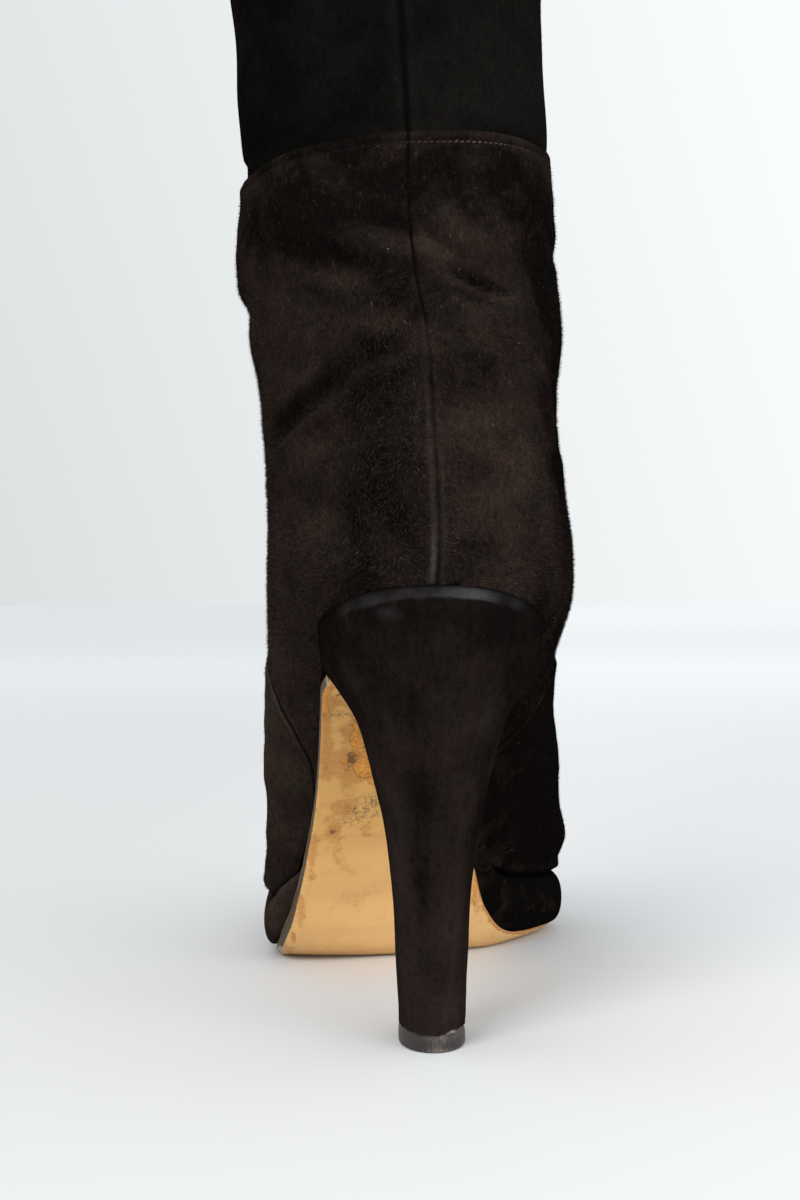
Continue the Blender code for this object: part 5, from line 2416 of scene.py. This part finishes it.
@dataclass
class HeelTip:
    """The rubber top piece: straight sides, an eased lower edge and a dragged, scuffed corner."""

    last: Last
    wardrobe: Wardrobe
    columns: int = 96
    rear: float = TIP_REAR
    front: float = 36
    width: float = 16
    thickness: float = 6
    bevel: float = 0.7
    tuck: float = 0.3
    side_rings: int = 16
    bevel_steps: int = 4

    def build(self) -> Piece:
        """Make the tip.

        Returns:
            The piece that stands for the heel tip.
        """
        angle = np.linspace(-math.pi, math.pi, self.columns + 1)
        rings = []
        for height, inset in self._profile():
            width = self.width - 2 * inset
            section = HeelSection(self.rear + inset, height, self.front - inset, height, width)
            rings.append(self.last.heel_ring(section, angle))
        points = np.stack(rings)
        turn = np.degrees(np.broadcast_to(angle, points.shape[:-1]))
        dent = 0.1 * ripple(points, 3.5, 61) * gauss(turn - 40, 50) * ease(0.2, 1.2, points[..., 2])
        points = points + grid_normals(points, np.ones(len(points), bool)) * dent[..., None]
        points[:, -1] = points[:, 0]
        height = points[..., 2]
        scuff = 0.55 * gauss(turn - 12, 22) + 0.3 * gauss(turn - 44, 14) * ease(0.5, 3.5, height)
        scuff = scuff + 0.35 * gauss(height - 0.3, 0.5) + 0.12
        draft = MeshDraft(self.last)
        draft.body(points, scuff=scuff)
        piece = draft.build("heel_tip_rubber", [self.wardrobe[Finish.RUBBER]], 40)
        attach(piece, BODY)
        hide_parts("heel_tip")
        return piece

    def _profile(self) -> list[Spot]:
        """Heights and insets of the rings, from the top down.

        Returns:
            The heights and insets.
        """
        heights = np.linspace(self.thickness, self.bevel, self.side_rings)
        sides = [(height, self.tuck * float(ease(2.6, 4, height))) for height in heights]
        curve = []
        for step in range(1, self.bevel_steps + 1):
            angle = math.pi / 2 * step / self.bevel_steps
            curve.append((self.bevel * (1 - math.sin(angle)), self.bevel * (1 - math.cos(angle))))
        return sides + curve


# ---- Platform and sole ----


def spaced_stations(last: Last, start: float, pitch: float) -> Array:
    """Stations from start to the toe that lie evenly round the sole's outline.

    Args:
        last: The boot's surfaces.
        start: The first station.
        pitch: Distance between stations along the outline in millimetres.

    Returns:
        The stations, ending at the toe.
    """
    y = LAST_END - (LAST_END - start) * np.linspace(1, 0, 6000) ** 2
    steps = np.zeros(len(y) - 1)
    for side in (-1, 1):
        outline = last.outline(y, side, np.zeros_like(y))
        steps = np.maximum(steps, np.linalg.norm(np.diff(outline, axis=0), axis=1))
    return evenly(y, steps, pitch)


@dataclass(frozen=True)
class Level:
    """One level of a slab's side: its share of the way down and how far it stands out."""

    share: float
    outset: float


@dataclass
class Slab:
    """A closed slab under the last, swept from a station to the toe."""

    last: Last
    start: float
    top: Callable[[SoleRow], Array]
    bottom: Callable[[SoleRow], Array]
    levels: Sequence[Level]
    pitch: float = 1.3
    across: int = 24
    nip: float = 0
    nip_length: float = 6
    roll: float = 0
    roll_starts: Spot = (110, 126)
    outer_roll: float = 0
    outer_roll_starts: Spot = (112, 130)
    settled_top: float = 0

    def draft(self, dress: Callable[[Array, Array], dict[str, Array]]) -> MeshDraft:
        """Loft the slab.

        Args:
            dress: Gives the point attributes from points and their shares of the way down.

        Returns:
            The draft of the closed slab.
        """
        y = spaced_stations(self.last, self.start, self.pitch)
        loop = self._loop()
        rings = []
        for share, outset, way in loop + loop[:1]:
            outer, inner = (self._edge(y, side, share, outset) for side in (-1, 1))
            settled = self.settled_top + (1 - self.settled_top) * share
            xy = outer + (inner - outer) * way
            rings.append(self.last.under(xy, lambda row: self._depth(row, share), settled))
        points = np.stack(rings, axis=1)
        share = np.broadcast_to([step[0] for step in loop + loop[:1]], points.shape[:-1])
        draft = MeshDraft(self.last)
        numbers = draft.add_points(points, **dress(points, share))
        draft.skin(numbers, inward=True)
        draft.face(numbers[0, :-1])
        return draft

    def _depth(self, row: SoleRow, share: float) -> Array:
        """Depth below the feather line at a share of the way down."""
        return self.top(row) * (1 - share) + self.bottom(row) * share

    def _edge(self, y: Array, side: float, share: float, outset: float) -> Array:
        """Plan points of one side at a level; the sides draw in where they start or roll under.

        Args:
            y: The stations.
            side: -1 for the outer side, 1 for the inner side.
            share: The level's share of the way down.
            outset: How far the level stands out.

        Returns:
            The points in plan.
        """
        if side < 0:
            drawn = self.nip * (1 - ease(0, self.nip_length, y - self.start))
            drawn = drawn + self.outer_roll * share**4 * ease(*self.outer_roll_starts, y)
        else:
            drawn = self.roll * share**2 * ease(*self.roll_starts, y)
        return self.last.outline(y, side, outset - drawn)

    def _loop(self) -> list[tuple[float, float, float]]:
        """Shares, outsets and ways across round one loop: over the top, down and back under.

        Returns:
            A share, an outset and a way across for each point of the loop.
        """
        first, *sides, last = self.levels
        ways = np.sin(np.linspace(-0.5, 0.5, self.across + 1) * math.pi) * 0.5 + 0.5
        loop = [(first.share, first.outset, float(way)) for way in ways]
        loop += [(level.share, level.outset, 1) for level in sides]
        loop += [(last.share, last.outset, float(way)) for way in ways[::-1]]
        return loop + [(level.share, level.outset, 0) for level in sides[::-1]]


@dataclass
class Platform:
    """The covered platform, rounder than the sole on its sides."""

    last: Last
    wardrobe: Wardrobe
    start: float = 111.5
    edge: float = 1
    bulge: float = 3
    side_levels: int = 18
    nip: float = 5
    nip_length: float = 15
    half_width: float = 44

    def build(self) -> Piece:
        """Make the platform.

        Returns:
            The cover that stands for the platform.
        """
        levels = []
        for share in 0.5 - 0.5 * np.cos(np.linspace(0, math.pi, self.side_levels + 1)):
            crown = (1 - abs(2 * share - 1) ** 2.2) ** 0.54
            levels.append(Level(float(share), self.edge + self.bulge * float(crown)))
        ends = {"nip": self.nip, "nip_length": self.nip_length}
        slab = Slab(self.last, self.start, lambda row: GAP, platform_bottom, levels, **ends)
        piece = slab.draft(self._dress).build("platform_cover", [self.wardrobe[Finish.PLATFORM]])
        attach(piece, BODY)
        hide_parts("platform")
        return piece

    def _dress(self, points: Array, share: Array) -> dict[str, Array]:
        """Point attributes of the cover.

        Args:
            points: Points in millimetres.
            share: Their shares of the way down a slab's side.

        Returns:
            The attributes by name.
        """
        across = points[..., 0] / self.half_width
        # Painted shade on the inner side and painted light on the outer side, and painted shade along the
        # top where the upper's wall bulges over the platform.
        tone = -0.6 * np.clip(across, 0, 1) + 0.42 * np.clip(-across, 0, 1)
        tone = tone + (0.25 - 0.15 * (across > 0)) * ripple(points, 14, 71) - 0.4 * gauss(share, 0.12)
        sides = gauss(share - 0.5, 0.42)
        nap = np.clip(0.4 * sides + 0.15 * ripple(points, 12, 72), 0, 1) * (sides > 0.3)
        fall = -0.25 - 0.3 * ripple(points, 22, 73)
        flow = np.stack([np.zeros_like(across), np.ones_like(across), fall], axis=-1)
        return {"tone": tone, "nap": nap, "flow": unit(flow)}


@dataclass(frozen=True)
class Stain:
    """A soft mark on the sole: where it lies in plan, how large it is and how strong."""

    x: float
    y: float
    wide: float
    long: float
    amount: float

    def at(self, points: Array) -> Array:
        """Strength at points.

        Args:
            points: Points in millimetres.

        Returns:
            The strengths.
        """
        x = (points[..., 0] - self.x) / self.wide
        y = (points[..., 1] - self.y) / self.long
        return self.amount * np.exp(-(x**2) - y**2)


SOLE_STAINS = (
    Stain(-26.8, 66, 1.9, 13, 1.1),
    Stain(-23, 61.5, 4, 1.3, 0.6),
    Stain(-18.2, 70, 3.2, 6, 0.8),
    Stain(-21.5, 77.5, 3.4, 3, 0.6),
    Stain(-18.5, 82.5, 4.5, 3, 0.75),
    Stain(-26.3, 80, 1.7, 2.4, 0.8),
    Stain(-20.5, 90.5, 4.5, 2.4, 0.55),
    Stain(-24.9, 96, 1.8, 1.6, 0.7),
    Stain(-23.4, 100, 3.4, 2.8, 0.4),
    Stain(-30.6, 99, 1.6, 5, 0.75),
    Stain(-15, 97, 3.4, 2.4, 0.4),
    Stain(-34.2, 109, 1.3, 4, 0.6),
    Stain(18, 150, 2.2, 3, 0.8),
    Stain(17.5, 121, 2.2, 9, 0.6),
    Stain(-22, 133, 16, 2, 0.7),
    Stain(-38, 121, 2, 5, 0.6),
    Stain(4, 104, 9, 10, 0.4),
    Stain(30, 133, 3, 6, 0.7),
    Stain(24.5, 122, 2.4, 8, 0.8),
)
SOLE_FLAKES = (
    Stain(-16.2, 78, 2.9, 5, 1.4),
    Stain(-17.6, 73.2, 2.2, 1.6, 1),
    Stain(-18.4, 68.4, 0.9, 2.8, 0.8),
    Stain(-25.4, 57.6, 1.4, 2, 0.8),
    Stain(-26.4, 63.5, 0.8, 4, 0.8),
    Stain(-13.8, 85, 1.6, 1.6, 0.6),
    Stain(-36.4, 115, 1, 3.4, 0.7),
    Stain(-21.4, 78.6, 0.8, 0.7, 0.6),
    Stain(16.8, 122, 0.7, 5, 0.7),
)
SOLE_DIRT = (
    Stain(-19.4, 77.9, 1.5, 2.2, 1.2),
    Stain(-19.6, 68.3, 0.8, 0.8, 1),
    Stain(-20.8, 81, 0.8, 0.8, 0.8),
    Stain(-26.3, 79.9, 1, 0.7, 0.9),
    Stain(-23.4, 59.9, 2.2, 0.55, 0.95),
    Stain(-23, 65.4, 2.4, 0.7, 0.75),
    Stain(-15.2, 83.9, 2.2, 0.6, 0.8),
    Stain(-24.9, 96.1, 1.4, 1.3, 0.75),
    Stain(-20.9, 91.5, 1.8, 1.2, 0.5),
    Stain(-14, 90, 2.4, 1.8, 0.5),
    Stain(-10.7, 147.5, 0.8, 1, 0.9),
    Stain(-33, 131, 1.8, 1, 0.8),
    Stain(-26, 132.5, 6, 0.9, 0.6),
    Stain(-12, 134, 8, 0.7, 0.45),
)
SOLE_CRACKS = (
    Stain(-17.5, 93, 4.6, 2.4, 1.1),
    Stain(-13, 89.6, 2.6, 3, 0.8),
    Stain(-22.5, 65.5, 4, 2, 0.9),
    Stain(-23.5, 60, 3, 1.2, 0.9),
    Stain(-16.5, 74.5, 3.6, 5, 0.8),
)


@dataclass
class Outsole:
    """The leather sole, from the heel's breast down the arch to the toe."""

    last: Last
    wardrobe: Wardrobe
    start: float = 55
    rounding: float = 0.45
    inset: float = 1.1
    roll: float = 4.5
    outer_roll: float = 1.3
    nip: float = 1.8
    pitch: float = 0.85
    across: int = 56
    edge_steps: int = 4
    waist: float = 112
    forefoot: Spot = (112, 134)
    pale_front: Spot = (84, 128)
    torn_corner: float = 125
    ink_worn_at: float = 148
    cut_end: float = 56.5

    def build(self) -> Piece:
        """Make the sole.

        Returns:
            The piece that stands for the outsole.
        """
        levels = [Level(0, 0), Level(0.2, 0.1), Level(0.4, 0.1), Level(1 - self.rounding, 0)]
        for angle in np.linspace(0, math.pi / 2, self.edge_steps + 1)[1:]:
            down = 1 - self.rounding * (1 - math.sin(angle))
            levels.append(Level(down, self.inset * (math.cos(angle) - 1)))
        rolls = {"nip": self.nip, "roll": self.roll, "outer_roll": self.outer_roll}
        fine = {"pitch": self.pitch, "across": self.across}
        slab = Slab(self.last, self.start, sole_top, sole_bottom, levels, settled_top=1, **rolls, **fine)
        piece = slab.draft(self._dress).build("leather_sole", [self.wardrobe[Finish.SOLE]], 40)
        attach(piece, BODY)
        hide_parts("outsole")
        return piece

    def _dress(self, points: Array, share: Array) -> dict[str, Array]:
        """Point attributes of the sole.

        Args:
            points: Points in millimetres.
            share: Their shares of the way down a slab's side.

        Returns:
            The attributes by name.
        """
        x, y, z = np.moveaxis(points, -1, 0)
        marks = {"stain": SOLE_STAINS, "flaked": SOLE_FLAKES, "dirt": SOLE_DIRT, "cracked": SOLE_CRACKS}
        found = {name: sum(stain.at(points) for stain in stains) for name, stains in marks.items()}
        outer = x < 0
        forefoot = ease(*self.forefoot, y)
        wall = (share > 0.01) * (share < 0.999)
        corner = gauss(y - self.ink_worn_at, 16) * outer
        dark = np.where(outer, 1 - ease(0.8, 0.92, share), (1 - ease(0.05, 0.2, share)) * (y < self.waist))
        found["inked"] = wall * dark * (1 - 0.4 * corner * ease(0.3, 0.6, share))
        worn_ink = 0.55 - 0.3 * forefoot + 0.3 * ease(0.2, 0.6, share)
        found["worn_ink"] = worn_ink - 0.3 * gauss(y - self.waist, 16) * outer
        torn = gauss(y - self.torn_corner, 5) * ease(0.3, 0.65, share) * outer
        found["raw"] = wall * (torn + 0.7 * gauss(y - self.cut_end, 1.2) * outer)
        row = self.last.sole_row(np.clip(y, 0, LAST_END))
        rim = np.minimum(np.abs(x + row.lateral), np.abs(x - row.medial))
        bottom_border = gauss(rim, 1) * np.where(outer, 0.45, 0.5)
        worn_edge = 1.1 - 1.1 * ease(0.1, 0.5, share + 0.12 * ripple(points, 4, 64))
        side_border = np.where(outer, 0.45, worn_edge)
        found["border"] = np.where(share > 0.999, bottom_border, side_border)
        found["front"] = ease(*self.pale_front, y)
        inner_fray = gauss(share - 0.3, 0.3) * ~outer * ease(118, 134, y) * (1 - ease(176, 190, y))
        outer_fray = gauss(share - 0.97, 0.06) * outer * (1 - ease(146, 160, y))
        found["nap"] = (0.75 * inner_fray + 0.45 * outer_fray) * wall * ease(0.8, 1.8, z)
        found["flow"] = np.broadcast_to(unit(np.array([0, 1, -0.6])), points.shape)
        return found


@dataclass
class Insole:
    """The sock-covered board inside, whose solid keeps its own shape."""

    wardrobe: Wardrobe

    def dress(self) -> None:
        """Give the frame's insole its leather."""
        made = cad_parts["insole"]
        solids = [made] if isinstance(made, Piece) else list(made)
        for solid in solids:
            for slot in solid.material_slots:
                slot.material = self.wardrobe[Finish.SOCK]


# ---- Studio ----


@dataclass(frozen=True)
class Lamp:
    """A soft rectangular lamp aimed at the boot."""

    name: str
    place: tuple[float, float, float]
    size: tuple[float, float]
    watts: float
    tint: tuple[float, float, float]

    def hang(self, aim: Vector) -> None:
        """Add the lamp.

        Args:
            aim: Where it points, in metres.
        """
        data = bpy.data.lights.new(self.name, "AREA")
        data.shape = "RECTANGLE"
        data.size, data.size_y = self.size
        data.energy = self.watts
        data.color = self.tint
        made = show(self.name, data)
        made.location = self.place
        made.rotation_euler = (aim - Vector(self.place)).to_track_quat("-Z", "Y").to_euler()


@dataclass
class Studio:
    """A pale floor, a pale surround, soft lamps and the camera."""

    last: Last
    lens: float = 54.6
    eye: tuple[float, float, float] = (-17.6, -412.8, 106)
    heading: float = 1.3
    floor_size: float = 30.0
    lamps: tuple[Lamp, ...] = (
        Lamp("key", (-0.8, -1.5, 1.35), (0.9, 0.9), 26, (1, 0.98, 0.96)),
        Lamp("fill", (1.1, -1.6, 0.9), (2, 1.4), 19, (0.97, 0.98, 1)),
        Lamp("top", (-0.3, 0.3, 2.2), (1.8, 1.8), 7, (1, 1, 1)),
    )

    def build(self) -> None:
        """Set everything up."""
        self._floor()
        self._surround()
        for lamp in self.lamps:
            lamp.hang(Vector((0, 0, 0.15)))
        self._camera()
        bpy.context.scene.view_settings.view_transform = "Standard"

    def _floor(self) -> None:
        """The floor: darker near the boot, where the lamps light it most, with painted shade on its outer
        side and painted light on its inner side, and glowing far off as painted light.
        """
        paint = Paint("studio_floor")
        cloud = paint.noise(420, 3, 0.5)
        distance = paint.vector("LENGTH", paint.place)
        away = distance.stepped(200, 2600)
        aside = paint.add("ShaderNodeSeparateXYZ", None, {"Vector": paint.place}, "X")
        aside = aside.stepped(-160, 200)
        # Painted shade on the outer side and painted light on the inner side; darker near the boot, where
        # the lamps light it most.
        near = paint.mix(aside, colour(203, 204, 205), colour(216, 217, 218))
        near = paint.mix(cloud * 0.1, near, colour(190, 191, 192))
        tint = paint.mix(away, near, paint.mix(aside, colour(236, 238, 239), colour(250, 251, 252)))
        # Painted light: the floor far off glows, more on the inner side.
        glow = distance.stepped(2500, 9000) * (aside * 0.055 + 0.015)
        lit = paint.mix(glow, (0, 0, 0, 1), (1, 1, 1, 1))
        paint.set(Base_Color=tint, Roughness=0.75, Specular_IOR_Level=0.2)
        paint.set(Emission_Color=lit, Emission_Strength=1)
        size = self.floor_size
        mesh = bpy.data.meshes.new("studio_floor")
        corners = [(-size, -size, 0), (size, -size, 0), (size, size, 0), (-size, size, 0)]
        mesh.from_pydata(corners, [], [(0, 1, 2, 3)])
        mesh.materials.append(paint.material)
        show("studio_floor", mesh)

    def _surround(self) -> None:
        """The pale surround, a little brighter overhead."""
        world = bpy.data.worlds.new("surround")
        bpy.context.scene.world = world
        world.use_nodes = True
        graph = Graph(world.node_tree)
        way = graph.add("ShaderNodeTexCoord", output="Generated")
        split = graph.node("ShaderNodeSeparateXYZ", None, {"Vector": way})
        side, up = (Signal(graph, split.outputs[axis]) for axis in "XZ")
        factor = (side * 1.8 + up.clamped() * 0.6 + 0.45).clamped()
        tint = graph.mix(factor, colour(217, 221, 222), colour(250, 252, 253))
        background = world.node_tree.nodes["Background"]
        world.node_tree.links.new(tint.socket, background.inputs["Color"])
        background.inputs["Strength"].default_value = 1

    def _camera(self) -> None:
        """The camera."""
        data = bpy.data.cameras.new("camera")
        data.lens = self.lens
        data.clip_end = 100
        camera = show("camera", data)
        camera.location = Vector(self.eye) * MM + Vector(self.last.zero)
        camera.rotation_euler = (math.radians(90), 0, -math.radians(self.heading))
        bpy.context.scene.camera = camera


def main() -> None:
    """Build the boot's pieces, then the studio."""
    last = Last()
    wardrobe = Wardrobe()
    upper, shaft = Upper(last, wardrobe), Shaft(last, wardrobe)
    covers = {
        "upper_suede": upper.build(),
        "shaft_suede": shaft.build(),
        "heel_suede": Heel(last, wardrobe).build(),
        "platform_suede": Platform(last, wardrobe).build(),
        "sole_leather": Outsole(last, wardrobe).build(),
    }
    pieces = list(covers.values())
    pieces += [nap.cover(covers[nap.slot], wardrobe) for nap in NAPS]
    pieces += [upper.stitch(), shaft.stitch(), HeelTip(last, wardrobe).build()]
    for piece in pieces:
        LOG.info("%s: %d faces", piece.name, len(piece.data.polygons))
    Insole(wardrobe).dress()
    Studio(last).build()


if __name__ == "__main__":
    logging.basicConfig(level=logging.INFO, format="%(name)s: %(message)s")
    main()
